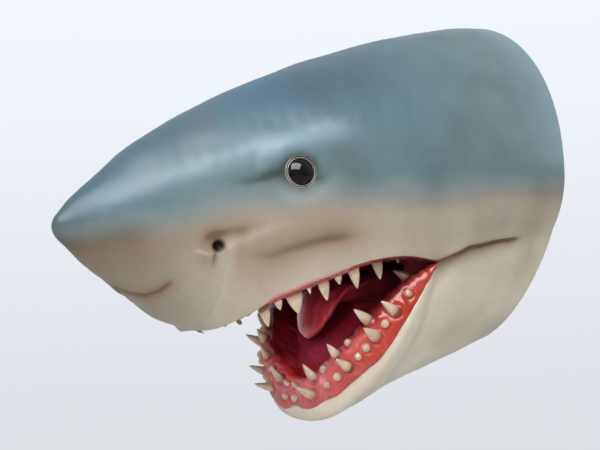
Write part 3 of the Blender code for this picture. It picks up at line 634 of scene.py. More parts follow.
def both_sides(left):
    """Rows that end on the centre line, carried on over the right side."""
    return np.concatenate([left, left[:, -2::-1] * (-1, 1, 1)], 1)


def neck_rows():
    """Places forward of the back for the rows behind the corner, close together at the rim."""
    return np.concatenate([np.linspace(CORNER[1], 0.0045, 46), RIM_ROWS])


def upper_skin():
    """The upper skin: rows that start on the keel, on the lip and on the seam, each carried up to the crown.
    The keel's rows draw together towards the tip and the lip, and hook down where they meet the lip."""
    tip = LENGTH - (LENGTH - SNOUT_FORWARD) * np.linspace(0, 1, 56) ** 1.5
    nose = UPPER_LIP_FORWARD + (SNOUT_FORWARD - UPPER_LIP_FORWARD) * (1 - np.linspace(0, 1, 27)[1:-1]) ** 1.35
    keel = np.concatenate([tip, nose])
    length, depth = KEEL_HOOK
    drop = depth * np.clip((UPPER_LIP_FORWARD + length - keel) / length, 0, 1) ** 2
    keel = np.stack([0 * keel, -keel, keel_z(keel) - drop], -1)
    edge = np.concatenate([keel, upper_lip(UPPER_Q), seam(neck_rows()[1:])])
    return both_sides(flank_rows(edge))


def lower_skin():
    """The underside: in each row a cubic curve runs from a seam or lip point to the centre line."""
    behind = neck_rows()[:0:-1]
    start = np.concatenate([seam(behind), lower_lip(LOWER_Q)])
    u = np.concatenate([0 * behind, 1 - LOWER_Q ** 2])
    g = np.clip(1 + start[:, 1] / CORNER[1], 0, 1)
    reach = np.where(g > 0, -start[:, 1], CORNER[1] + (LOWER_LIP_FORWARD - CORNER[1]) * u)
    end = np.stack([0 * reach, -reach, through(reach, BELLY)], -1)
    lean = np.stack([np.where(g > 0, -0.45 + 0.2 * (1 - g), -0.25 + 0.45 * u), -0.1 * u,
                     -np.ones(len(u))], -1)
    chord = lengths(end - start)[:, None]
    first = start + 0.3 * chord * unit(lean)
    second = end.copy()
    second[:, 0] += (0.42 + 0.13 * u) * start[:, 0]
    t = edge_steps(0.9 * chord, np.linspace(0, 1, 45)[1:])[..., None]
    return both_sides((1 - t) ** 3 * start[:, None] + 3 * (1 - t) ** 2 * t * first[:, None]
                      + 3 * (1 - t) * t * t * second[:, None] + t ** 3 * end[:, None])


def back_rows(rim):
    """The flange round the board and the recess behind it: the rim's outline drawn in towards the middle."""
    size = np.hypot(rim[:, 0], rim[:, 2])[:, None]
    flat = rim * (1, 0, 1)
    deep = np.array((0, -(BOARD_THICKNESS + GAP), 0))
    inner = flat * (1 - (BOARD_INSET - GAP) / size)
    return np.stack([rim, inner, inner + deep, 0.5 * inner + deep, 0 * inner + deep])


def pocket_rows():
    """The hollow that holds the mouth's flesh, in rings for each jaw: the lip, just inside it, under the
    middle and the inner side of the gum, behind the palate or floor, round the throat, and its end."""
    halves = []
    for jaw, q in ((UPPER, UPPER_Q), (LOWER, LOWER_Q)):
        normal = jaw.normal * jaw.share(q)[:, None]
        lip = jaw.lip(q)
        inside = lip + jaw.inward(q) * (LIP_ROUND + POCKET_INSET)
        throat = jaw.throat(q) * (POCKET_WIDENING, 1, 1)
        end = np.broadcast_to((0, -THROAT_END + POCKET_BEHIND, THROAT_Z), lip.shape)
        rings = np.stack([lip, inside, jaw.bed(q, 0.5), jaw.bed(q, 1), jaw.middle(q), throat, end])
        halves.append(rings - normal * POCKET_DEPTHS[:, None, None])
    return halves


def lip_bend(points):
    """How the skin bends over at the lips: within the rounding of a lip, it moves in by a quarter circle."""
    move = np.zeros_like(points)
    q = np.linspace(-1, 1, 801)
    for jaw in (UPPER, LOWER):
        path = jaw.lip(q)
        close = np.flatnonzero((points[:, 1] < -CORNER[1] + 0.01) & (points[:, 1] > -0.6))
        close = close[near(points[close], path[::8])[0] < 0.02]
        gaps = lengths(points[close, None] - path[None])
        best = q[gaps.argmin(1)]
        bend = quarter_round(gaps.min(1), LIP_ROUND) * jaw.share(best) ** 0.5
        move[close] += jaw.inward(best) * bend[:, None]
    return move


def rim_bend(points):
    """The skin's edge at the back rounds inwards by a quarter circle."""
    bend = quarter_round(-points[:, 1], RIM_ROWS[0])
    size = np.maximum(np.hypot(points[:, 0], points[:, 2]), 0.01)
    return -points * (1, 0, 1) * (bend / size)[:, None]


def as_left(points):
    """Each point taken over to the left side."""
    return np.abs(points) * (1, 0, 0) + points * (0, 1, 1)


def skin_x(forward, z):
    """Half width of the head at a height, ahead of the mouth: an oval below the widest level and a
    superellipse above it."""
    width, level = half_width(forward), widest_z(forward)
    if z > level:
        share, power = (z - level) / (crown_z(forward) - level), 2.0 + 0.15 * (1 - forward / LENGTH)
    else:
        share, power = (level - z) / (level - keel_z(forward)), 2.0
    return width * (1 - share ** power) ** (1 / power)


EYE_PLACE = np.array((skin_x(EYE[1], EYE[2]), -EYE[1], EYE[2]))


def eye_axes(side):
    """Point of the skin under the eye, and unit vectors forward along its ring, up along it and out of it."""
    out = unit(np.array((side, *EYE_TURN)))
    ahead = np.array((0, -1.0, 0))
    ahead = unit(ahead - out * (ahead @ out))
    return EYE_PLACE * (side, 1, 1), ahead, np.cross(ahead, out) * side, out


def round_the_eye(side):
    """Offsets from the left eye's place, their lengths, and how far each is above it."""
    seat, _, up, _ = eye_axes(1)
    offset = side - seat
    return offset, lengths(offset), offset @ up


def relief(points):
    """How far the skin stands out from its plain outline: bells across the folds, a swelling before the
    snout crease, a flat round the eye, the nostril's hole, and a crease on the cheek with a swelling above
    it and a shallow groove below."""
    side = as_left(points)
    out = 0.0007 * hum(side, 3, 0.11) + 0.00025 * hum(side, 4, 0.035)
    for line, height, *shape in FOLDS:
        out += height * stroke(side, line, *shape)
    distance, foot, along = near(side, SMILE)
    before = smooth((foot[:, 1] - side[:, 1]) / 0.006 + 0.5)
    out += 0.0012 * bell(distance, 0.014) * before * fade(along, 0, 0.35)

    offset, gap, over = round_the_eye(side)
    out -= smooth((EYE_FLAT - gap) / EYE_FLAT_EDGE) * (offset @ eye_axes(1)[3])
    out += 0.001 * bell(gap - 0.036, 0.01) * smooth(over / 0.03 + 0.2)
    hole = lengths(side - NOSTRIL)
    out -= NOSTRIL_DEPTH * smooth((1 - hole / NOSTRIL_RADIUS) / 0.75) + 0.0014 * bell(hole, 0.018)

    distance, foot, along = near(side, CHEEK)
    above = side[:, 2] - foot[:, 2]
    crease = -0.0064 * bell(above + 0.0024, 0.0034 + 0.0016 * (1 - along)) * bell(distance, 0.012)
    crease += 0.0046 * bell(above - 0.007, 0.009) * bell(distance, 0.03) * smooth(along / 0.2)
    crease -= 0.0024 * bell(above + 0.014, 0.012) * bell(distance, 0.04)
    out += crease * fade(along, 0, 0.3)
    return out * smooth(-side[:, 1] / 0.012)


# ---------------------------------------------------------------- where the skin's paints lie

def sprayed(name, side, above):
    """What the tables put down of one paint: bells across strokes, about spots and along bands."""
    forward = -side[:, 1]
    total = np.zeros(len(side))
    for line, strength, *shape in STROKES[name]:
        total += strength * stroke(side, line, *shape)
    for middle, strength, size in SPOTS[name]:
        total += strength * bell(lengths(side - middle), size)
    for strength, start, length, level, width in BANDS[name]:
        total += strength * smooth((forward - start) / length) * bell(above - level, width)
    return total


def brown_and_shade_at(side, above):
    """Brown, partly painted shade: its tables, painted shade in the cheek's crease and under it, tints by
    the rim and on the cheek, and painted shade under the snout, there with some unevenness."""
    forward, z = -side[:, 1], side[:, 2]
    brown = sprayed('brown', side, above)
    distance, foot, along = near(side, CHEEK)
    under = z - foot[:, 2]
    # Painted shade in the cheek's crease and in a soft band under it.
    crease = 1.1 * bell(under + 0.0014, 0.0038) * bell(distance, 0.012)
    crease += 0.55 * bell(under + 0.006, 0.009) * bell(distance, 0.03)
    brown += crease * fade(along, 0, 0.18)
    brown += 0.34 * bell(under + 0.016, 0.016) * bell(distance, 0.05) * smooth((0.75 - along) / 0.4)
    brown += 0.22 * bell(forward - 0.045, 0.02) * bell(z + 0.08, 0.06)
    brown += 0.12 * bell(forward - 0.43, 0.1) * bell(above + 0.052, 0.03)
    # Painted shade below the border under the snout's front.
    brown += 0.16 * smooth((forward - 0.58) / 0.1) * smooth((-above - 0.02) / 0.03)
    return brown + 0.1 * np.maximum(hum(side, 15, 0.09), 0) * smooth((forward - 0.5) / 0.1)


def dusk_and_shade_at(side, above):
    """Dark grey, partly painted shade: its tables, a ring of painted shade round the eye that is stronger
    above it under the brow, painted shade under the snout's front, and clouds to the rear."""
    forward = -side[:, 1]
    _, gap, over = round_the_eye(side)
    dusk = sprayed('dusk', side, above)
    # Painted shade round the eye: thin where the ring meets the skin, wider and stronger above it.
    dusk += 0.75 * bell(gap - 0.026, 0.007) * smooth(over / 0.02 + 0.25) + 0.35 * bell(gap - 0.026, 0.003)
    # Painted shade below the border on the snout's front.
    dusk += 0.22 * smooth((forward - 0.56) / 0.12) * smooth((-above - 0.005) / 0.02)
    return dusk + 0.1 * np.maximum(hum(side, 16, 0.1), 0) * smooth((0.35 - forward) / 0.1)


def pale_and_highlight_at(side, above, upper, lip):
    """Pale, partly painted highlight: its tables, a painted highlight on the brow, stronger to the rear, a
    painted highlight in a bow under the eye, the rim, and on the lower jaw a painted highlight on the lip,
    painted light on a stripe below it, and the chin. lip is the distance from the lower lip."""
    forward = -side[:, 1]
    _, gap, over = round_the_eye(side)
    pale = sprayed('pale', side, above)
    distance, _, along = near(side, BROW)
    # Pale paint and painted highlight along the brow ridge.
    pale += (0.42 + 0.75 * smooth((along - 0.45) / 0.25)) * bell(distance, 0.02) * fade(along, 0.2, 0.15)
    # Painted highlight in a bow under the eye.
    pale += 0.22 * bell(gap - 0.043, 0.01) * smooth(-over / 0.03)
    pale += 0.7 * bell(forward, 0.045) * smooth(above / 0.05)
    # Painted highlight along the lower lip's rounded edge.
    pale += 0.2 * bell(lip - 0.003, 0.006)
    # Painted light on the stripe below the lip, where the jaw turns away from the light.
    jaw = 0.5 * bell(lip - 0.036, 0.014) * smooth((0.335 - forward) / 0.04)
    jaw += 0.2 * smooth((forward - 0.35) / 0.02)
    return pale + jaw * (1 - upper)


def veil_and_shade_at(side, upper, lip):
    """Grey over the cream, partly painted shade: all of the upper skin, behind the corner a soft step up
    across the seam, and on the lower jaw a thin coat, thicker under the throat and behind the chin."""
    forward, z = -side[:, 1], side[:, 2]
    behind = smooth((CORNER[1] + 0.01 - forward) / 0.03)
    over_seam = z - seam(np.clip(forward, 0, CORNER[1]))[:, 2]
    # Painted shade under the throat.
    throat = 0.3 * smooth((0.22 - forward) / 0.1) * smooth((-0.2 - z) / 0.06)
    chin = 0.56 * bell(forward - 0.335, 0.03) * smooth(2.0 - lip / 0.03)
    return (behind * 0.85 * smooth(0.6 + over_seam / 0.06) + (1 - behind) * upper
            + (1 - upper) * (0.1 + throat + chin))


def paint_lines(points, upper):
    """The airbrushed colours at each point, from 0 to 1: back is blue above the border, veil the grey over
    the cream, partly painted shade, teal the greener flank, rear the greyer skin by the rim, nose the darker
    blue in front, dusk the dark grey, partly painted shade, rose the pink line on the upper lip, dark the
    painted shade in the nostril's hole, and brown and pale the lines, partly painted shade and painted
    highlights. upper is 1 on the upper skin."""
    side = as_left(points)
    forward, z = -side[:, 1], side[:, 2]
    wander = 0.005 * hum(side, 11, 0.14) + 0.002 * hum(side, 12, 0.05)
    above = z - through(np.clip(forward, 0, LENGTH), BORDER)
    above = above + wander * (1 - 0.7 * smooth((forward - 0.5) / 0.15))
    lip = near(side, LOWER.lip(np.linspace(0, 1, 61)))[0]
    distance, _, along = near(side, UPPER.lip(np.linspace(0, 1, 121)))
    rose = smooth((0.005 - distance) / 0.0026) * smooth((along - 0.4) / 0.08) * smooth((0.78 - along) / 0.2)
    # Painted shade in the nostril's hole, eased by a painted glint on its lower rear wall.
    hole = lengths(side - NOSTRIL)
    glint = lengths(side - NOSTRIL - (0.0035, 0.004, -0.006))
    lines = {
        'back': 0.5 + above / 0.1,
        'veil': veil_and_shade_at(side, upper, lip),
        'brown': brown_and_shade_at(side, above),
        'dusk': dusk_and_shade_at(side, above),
        'pale': pale_and_highlight_at(side, above, upper, lip),
        'dark': smooth((1 - hole / NOSTRIL_RADIUS) / 0.45) * (1 - 0.55 * bell(glint, 0.0035)),
        'rear': 1 - smooth(forward / 0.24),
        'teal': 1 - smooth((above - 0.05) / 0.14) * smooth((forward - 0.12) / 0.36),
        'rose': rose * upper,
        'nose': smooth((forward - 0.6) / 0.18)}
    return {name: np.clip(value, 0, 1) for name, value in lines.items()}


def head_skin(material):
    """The casting's one skin: both skins, the back and the mouth's pocket welded, then moved out by the
    relief and rounded in at the lips and the rim."""
    upper, lower = upper_skin(), lower_skin()
    pockets = [half * (way, 1, 1) for half in pocket_rows() for way in (1, -1)]
    points, faces, places = join_grids([upper, lower, back_rows(upper[-1]), back_rows(lower[0]), *pockets])
    mesh = new_mesh('head_skin', points, faces)

    def marked(*groups):
        """1 at the points of the groups and 0 elsewhere."""
        marks = np.zeros(len(points))
        marks[np.concatenate(groups)] = 1
        return marks

    outside, inside = marked(*places[:2]), marked(*places[4:])
    land = marked(*(group.reshape(len(POCKET_DEPTHS), -1)[:2].reshape(-1) for group in places[4:]))
    swell(mesh, relief(points) * outside, (lip_bend(points) + rim_bend(points)) * outside[:, None])
    lines = paint_lines(points, marked(places[0]))
    give(mesh, mouth=inside * (1 - land), **{name: value * outside for name, value in lines.items()})
    place('head_skin', mesh, material, 'skin', 'snout', 'head', 'lower_jaw', 'neck')


# ---------------------------------------------------------------- mouth

def tooth_frames(jaw, teeth):
    """Foot, along, across, up, width and height of every tooth, as arrays. The foot lies on the gum's roll,
    up leans outwards from the gum's normal, and the width grows with the height."""
    table = np.array(teeth, float)
    q, angle, lean, height = table[:, 0], np.radians(table[:, 1]), np.radians(table[:, 2]), table[:, 3]
    foot, along, inward = jaw.roll(q, angle), jaw.along(q), jaw.inward(q)
    up = jaw.normal * np.cos(lean)[:, None] - inward * np.sin(lean)[:, None]
    across = unit(np.cross(along, up))
    across *= np.sign((across * inward).sum(1))[:, None]
    return foot, along, across, up, TOOTH_LEAST_WIDTH + TOOTH_WIDENING * height, height


def collars(jaw, points, teeth):
    """Swelling of the gum round each tooth, and the painted shade line at its foot: bells about rings round
    it.
    """
    foot, _, _, _, width, height = tooth_frames(jaw, teeth)
    gaps = lengths(points[..., None, :] - foot)
    beyond = gaps - np.where(height > BUD, width / 2, BUD_RADIUS * 0.95)
    return 0.0022 * bell(beyond - 0.0025, 0.0028).max(-1), bell(beyond - 0.0005, 0.0016).max(-1)


def down_the_jaw(q):
    """Unit vectors from the lower lip down along the jaw's outer skin, and out of that skin."""
    u = 1 - q * q
    fall = unit(np.stack([np.clip(q / 0.15, -1, 1) * (0.45 * u - 0.25), -0.1 * u, -np.ones_like(q)], -1))
    out = unit(np.cross(LOWER.along(q), fall))
    return fall, out * -np.sign((out * LOWER.inward(q)).sum(-1, keepdims=True))


def gum_edge(jaw, q):
    """Outer edge of the gum: it runs over the lip by the lap, or stops short inside where the lap is below 0.
    In front the upper gum's edge draws back behind the lip."""
    lap = through(q, LAP) if jaw is LOWER else -0.003 * smooth((UPPER_GUM_HIDDEN - np.abs(q)) / 0.06)
    fall, out = down_the_jaw(q)
    inside = jaw.lip(q) + jaw.inward(q) * (LIP_ROUND + np.maximum(-lap, 0))[:, None] + jaw.normal * 0.0003
    outside = jaw.lip(q) + fall * np.maximum(lap, 0)[:, None] + out * 0.0007
    return inside + (outside - inside) * smooth(lap / 0.0015)[:, None]


def flesh_grid(jaw, q):
    """One jaw's gum and lining: across the gum a half oval from the lip inwards, then a smooth curve over
    the palate or floor to the throat. In front the upper gum draws up out of sight."""
    gum = np.stack([jaw.roll(q, angle) for angle in GUM_ANGLES])
    outer = np.where(GUM_ANGLES < math.pi / 2, np.cos(GUM_ANGLES) ** 2, 0)[:, None, None]
    gum += (gum_edge(jaw, q) - gum[0])[None] * outer
    if jaw is UPPER:
        hidden = 0.009 * smooth((UPPER_GUM_HIDDEN + 0.04 - np.abs(q)) / 0.08)[None, :, None]
        gum -= jaw.normal * hidden * smooth((math.pi - GUM_ANGLES) / 1.9)[:, None, None]
    end = np.broadcast_to(np.array((0, -THROAT_END, THROAT_Z)), gum[0].shape)
    keys = [gum[-3], gum[-1], jaw.middle(q), jaw.throat(q), end]
    return np.concatenate([gum, chain(keys, np.linspace(0.25, 1, LINING_ROWS + 1)[1:])])


def flesh_rise(jaw, grid, q, teeth):
    """How far the flesh swells, and the painted shade at the teeth's feet: collars, fine ripples across the
    front gum, unevenness, and on the mouth's floor one hump."""
    rows = len(GUM_ANGLES)
    angle = GUM_ANGLES[:, None]
    rise, root = np.zeros((2,) + grid.shape[:2])
    rise[:rows], root[:rows] = collars(jaw, grid[:rows], teeth)
    rise[:rows] += 0.0005 * np.sin(260 * q + 2 * angle) * bell(q - 0.02, 0.14) * np.sin(angle)
    uneven = 0.0009 * hum(grid, 21, 0.03) + 0.0004 * hum(grid, 22, 0.012)
    rise += uneven * smooth(np.arange(len(grid)) / 8)[:, None]
    if jaw is LOWER:
        rise += HUMP_HEIGHT * bell(lengths(grid - FLOOR_HUMP), HUMP_WIDTH)
    return rise, root


def flesh(name, jaw, teeth, material, *nodes):
    """One jaw's flesh, a sheet with its thickness behind it, and the numbers for its paint: depth down the
    lining, slope of the gum, front of the mouth, painted shade at the roots of the teeth and along the edge
    at the lip, the painted sheen on the floor, and the painted shade in the dark corners."""
    q = GUM_Q
    grid = flesh_grid(jaw, q)
    rise, root = flesh_rise(jaw, grid, q, teeth)
    faces = grid_faces(*grid.shape[:2])
    mesh = new_mesh(name, grid, (faces if jaw is UPPER else faces[:, ::-1]).tolist(), outwards=False)
    swell(mesh, rise)
    depth = np.append(0 * GUM_ANGLES, np.linspace(0, 1, LINING_ROWS))[:, None]
    slope = np.append(np.cos(GUM_ANGLES), np.full(LINING_ROWS, -1.0))[:, None]
    arc = np.append(GUM_ANGLES * jaw.heights[1], np.ones(LINING_ROWS))[:, None]
    numbers = {
        'depth': depth, 'slope': slope, 'root': root, 'edge': bell(arc, 0.0012),
        'front': 1.0 if jaw is UPPER else 1 - np.abs(q),
        'hump': bell(lengths(grid - FLOOR_SHEEN), SHEEN_WIDTH) * (jaw is LOWER),
        'corner_shade': smooth((np.abs(q) - GUM_SHADE_FROM[jaw.side]) / 0.14) * np.where(slope > 0.3, jaw is UPPER, 1)}
    give(mesh, **{label: np.broadcast_to(value, grid.shape[:2]) for label, value in numbers.items()})
    piece = place(name, mesh, material, 'gum', *nodes)
    modifier = piece.modifiers.new('thickness', 'SOLIDIFY')
    modifier.thickness = FLESH_THICKNESS
    modifier.offset = -1
    modifier.use_even_offset = False


def tooth_profile(level):
    """Width share up a tooth: full at the gum, narrowing slowly and then to a small round tip."""
    return np.maximum(1 - level ** 1.45, 0) ** 0.8


def on_frames(frames, up_by, across_by, along_by):
    """Points at three distances along each tooth's own directions."""
    foot, along, across, up = (v[:, None, None] for v in frames[:4])
    return foot + up * up_by[..., None] + across * across_by[..., None] + along * along_by[..., None]


def cones(jaw, q, frames, turn):
    """Hooked cones: rings of an oval that shrink towards the tip, while the centre line bends into the mouth
    with the square of the height. The first ring is the root. Also gives each ring's level up the tooth."""
    wide, high = (v[:, None, None] for v in frames[4:])
    level = 1 - (1 - np.linspace(0, 1, TOOTH_RINGS - 1)) ** 1.35
    level = np.append(0, level)[None, :, None] + 0 * high
    extra = BROAD_TOOTH_EXTRA * bell(np.abs(q) - BROAD_TOOTH_Q, BROAD_TOOTH_REACH)
    broad = TOOTH_BREADTH[jaw.side] + (extra if jaw is UPPER else 0)
    broad = np.where(frames[5] < SMALL_TOOTH, SMALL_BREADTH * broad, broad)[:, None, None]
    share = tooth_profile(level) * broad
    level[:, :1] = -TOOTH_ROOT[jaw.side] / high
    hook = TOOTH_HOOK * high * np.maximum(level, 0) ** 2
    thick = wide / 2 * TOOTH_THICKNESS[jaw.side] * share
    breadth = wide / 2 * share
    rings = on_frames(frames, high * level, hook + thick * np.sin(turn), breadth * np.cos(turn))
    return rings, level


def stumps(frames, turn):
    """Round stumps: balls of slightly uneven size, sunk a third in the gum, and their heights as shares."""
    fall = (math.pi * np.linspace(1, 0, TOOTH_RINGS))[None, :, None]
    size = BUD_RADIUS * (1 + 0.1 * np.sin(np.arange(len(frames[0])) * 2.4))[:, None, None]
    ball = on_frames(frames, 0.002 + size * np.cos(fall), size * np.sin(fall) * np.sin(turn),
                     size * 1.05 * np.sin(fall) * np.cos(turn))
    return ball, 0.55 + 0.45 * np.cos(fall)


def all_teeth(name, jaw, teeth, material):
    """One jaw's teeth in one piece. rise is the height up a tooth, less contrasted on a small one, bud marks
    the stumps, and the teeth in the dark of the mouth's corners are marked for painted shade."""
    frames = tooth_frames(jaw, teeth)
    q, height = np.array(teeth, float)[:, 0], frames[5][:, None, None]
    tall = height > BUD
    turn = np.linspace(0, 2 * math.pi, 21)[None, None, :-1]
    cone, level = cones(jaw, q, frames, turn)
    ball, ball_rise = stumps(frames, turn)
    grid = np.where(tall[..., None], cone, ball)
    count, rows, columns = grid.shape[:3]
    mesh = new_mesh(name, grid, tube_faces(rows, columns, count))
    least = np.clip((0.024 - height) / 0.016, 0, 1) * 0.5
    cone_rise = least * (level > 0) + (1 - least) * np.clip(level, 0, 1)
    numbers = {
        'rise': np.where(tall, cone_rise, ball_rise), 'bud': np.where(tall, 0.0, 1.0),
        'corner_shade': smooth((np.abs(q) - TOOTH_SHADE_FROM[jaw.side]) / 0.05)[:, None, None]}
    give(mesh, **{label: np.broadcast_to(value, grid.shape[:3]) for label, value in numbers.items()})
    place(name, mesh, material, 'gum')


def tongue(material):
    """The tongue: ovals along its curved back, flat-crowned above with a shallow groove, deeper below, and
    shrinking to a round tip. rim marks the painted highlight on its right edge and tip, length the way
    along it."""
    t = 1 - (1 - np.linspace(0, 1, 90)) ** 1.25
    forward, z, half, depth = chain(list(np.array(TONGUE)), t).T
    close = np.sqrt(1 - np.clip((t - TONGUE_ROUND) / (1 - TONGUE_ROUND), 0, 1) ** 2)
    half, depth = half * close, depth * np.sqrt(close)
    centre = np.stack([0 * z, -forward, z], -1)
    up = np.cross((1.0, 0, 0), unit(np.gradient(centre, axis=0)))
    up *= np.sign(up[:, 2:])
    turn = np.linspace(0, 2 * math.pi, 73)[:-1]
    above = np.where(np.sin(turn) > 0, 1, 0)[None]
    crown = (TONGUE_CROWN * np.sqrt(close))[:, None]
    side = half[:, None] * np.cos(turn)
    rise = (crown * above + depth[:, None] * (1 - above)) * np.sin(turn)
    rise = rise - 0.0008 * bell(side, 0.012) * above * smooth(half / 0.04)[:, None]
    grid = centre[:, None] + side[..., None] * (1.0, 0, 0) + rise[..., None] * up[:, None]
    mesh = new_mesh('tongue_flesh', grid, tube_faces(*grid.shape[:2]))
    swell(mesh, 0.0005 * hum(grid, 31, 0.03))
    length = t[:, None] + 0 * side
    # Painted highlight on the right edge and the tip.
    edge = np.where(np.cos(turn) < 0, np.abs(np.cos(turn)) ** 3, 0) * smooth((length - 0.5) / 0.3)
    tip = smooth((length - 0.9) / 0.1) * 0.42 * (0.5 - 0.5 * np.cos(turn))
    give(mesh, rim=np.maximum(edge, tip), length=length)
    place('tongue_flesh', mesh, material, 'tongue', 'tongue')


# ---------------------------------------------------------------- eyes

def turned(profile, axes, steps):
    """A profile of radii and heights turned about the way out of the skin, the last column on the first."""
    origin, ahead, up, out = axes
    turn = np.linspace(0, 2 * math.pi, steps + 1)[:-1][None]
    radius, rise = np.array(profile, float).T[:, :, None]
    ring = radius[..., None] * (np.cos(turn)[..., None] * ahead + np.sin(turn)[..., None] * up)
    grid = origin + ring + rise[..., None] * out
    return np.concatenate([grid, grid[:, :1]], 1)


def eye(side_name, side, glass, ring_paint):
    """A glass eye, which is a ball sunk in the skin, and the double ring round it. On the ring reach is the
    distance from the axis and over the height above the middle, each as a share."""
    axes = eye_axes(side)
    fall = np.linspace(0, math.pi, 41)
    ball = turned(np.stack([EYE_RADIUS * np.sin(fall), EYE_RADIUS * np.cos(fall) - EYE_SINK], -1), axes, 64)
    points, faces, _ = join_grids([ball])
    mesh = new_mesh('eye_glass_' + side_name, points, faces)
    place('eye_glass_' + side_name, mesh, glass, 'eye', 'eye_' + side_name)

    section = chain(list(RING_SECTION), np.linspace(0, 1, 56)[:-1])
    ring = turned(np.concatenate([section, section[:1]]), axes, 72)
    points, faces, _ = join_grids([ring])
    mesh = new_mesh('eye_lid_' + side_name, points, faces)
    origin, ahead, up, _ = axes
    over = (points - origin) @ up
    reach = np.hypot((points - origin) @ ahead, over)
    give(mesh, reach=(reach - RING_INSIDE) / RING_WIDTH, over=over / (RING_INSIDE + RING_WIDTH))
    place('eye_lid_' + side_name, mesh, ring_paint, 'eye_ring', 'eye_ring_' + side_name)


# ---------------------------------------------------------------- paints

def preset(node, **numbers):
    """Sets numbers on a node's own sockets; _ stands for a space in a socket's name."""
    for socket, number in numbers.items():
        node.inputs[socket.replace('_', ' ')].default_value = number
    return node


class Nodes:
    """A node tree under construction: each method adds a node and returns the socket it gives out."""

    def __init__(self, tree):
        self.tree = tree

    def node(self, kind, **settings):
        """A new shader node of a kind, with its settings."""
        made = self.tree.nodes.new('ShaderNode' + kind)
        for name, value in settings.items():
            setattr(made, name, value)
        return made

    def feed(self, socket, value):
        """Links a socket to another one's value, or sets it to a number or a colour."""
        if isinstance(value, bpy.types.NodeSocket):
            self.tree.links.new(value, socket)
        elif isinstance(value, tuple) and socket.type == 'RGBA':
            socket.default_value = value + (1.0,)
        else:
            socket.default_value = value

    def spread(self, value, low, high, to_low=0.0, to_high=1.0):
        """The value, drawn out from the range low to high to a new range."""
        made = preset(self.node('MapRange'), From_Min=low, From_Max=high, To_Min=to_low, To_Max=to_high)
        self.feed(made.inputs['Value'], value)
        return made.outputs['Result']

    def math(self, operation, first, second):
        """Sum, product or the like of two values."""
        made = self.node('Math', operation=operation)
        self.feed(made.inputs[0], first)
        self.feed(made.inputs[1], second)
        return made.outputs['Value']

    def mix(self, share, first, second, blend='MIX'):
        """The first colour with a share of the second over it."""
        made = self.node('Mix', data_type='RGBA', blend_type=blend)
        self.feed(made.inputs['Factor'], share)
        self.feed(made.inputs[6], first)
        self.feed(made.inputs[7], second)
        return made.outputs[2]

    def ramp(self, value, *stops):
        """A row of colours, each with its place, read by the value."""
        made = self.node('ValToRGB')
        elements = made.color_ramp.elements
        for k, (where, colour) in enumerate(stops):
            element = elements[k] if k < 2 else elements.new(where)
            element.position = where
            element.color = colour + (1.0,)
        self.feed(made.inputs['Fac'], value)
        return made.outputs['Color']


class Paint(Nodes):
    """A material under construction; the constants go straight on the shader's sockets."""

    def __init__(self, name, **constants):
        self.material = bpy.data.materials.new(name)
        self.material.use_nodes = True
        super().__init__(self.material.node_tree)
        self.shader = preset(self.tree.nodes['Principled BSDF'], **constants)
        self.object = self.node('TexCoord').outputs['Object']

    def stored(self, name):
        """The number stored at the vertices under this name."""
        return self.node('Attribute', attribute_name=name).outputs['Fac']

    def noise(self, scale, detail, rough, stretch=None, twist=0.0):
        """Cloudy pattern on the piece's own coordinates, squeezed along an axis by its stretch."""
        made = preset(self.node('TexNoise'), Scale=scale, Detail=detail, Roughness=rough, Distortion=twist)
        where = self.object
        if stretch:
            mapping = preset(self.node('Mapping'), Scale=stretch)
            self.feed(mapping.inputs['Vector'], where)
            where = mapping.outputs['Vector']
        self.feed(made.inputs['Vector'], where)
        return made.outputs['Fac']

    def cover(self, colour, name, coat, share=None):
        """The colour under a coat that lies where the stored number says, times a share."""
        amount = self.stored(name)
        if share is not None:
            amount = self.math('MULTIPLY', amount, share)
        return self.mix(amount, colour, coat)

    def bump(self, height, strength, distance, below=None):
        """A normal tilted by the slope of a height pattern, on top of another normal."""
        made = preset(self.node('Bump'), Strength=strength, Distance=distance)
        self.feed(made.inputs['Height'], height)
        if below is not None:
            self.feed(made.inputs['Normal'], below)
        return made.outputs['Normal']

    def finish(self, colour, roughness=None, normal=None, coat_normal=False):
        """Joins the patterns to the shader, and gives the material."""
        self.feed(self.shader.inputs['Base Color'], colour)
        if roughness is not None:
            self.feed(self.shader.inputs['Roughness'], roughness)
        if normal is not None:
            self.feed(self.shader.inputs['Normal'], normal)
        if coat_normal:
            self.feed(self.shader.inputs['Coat Normal'], normal)
        return self.material


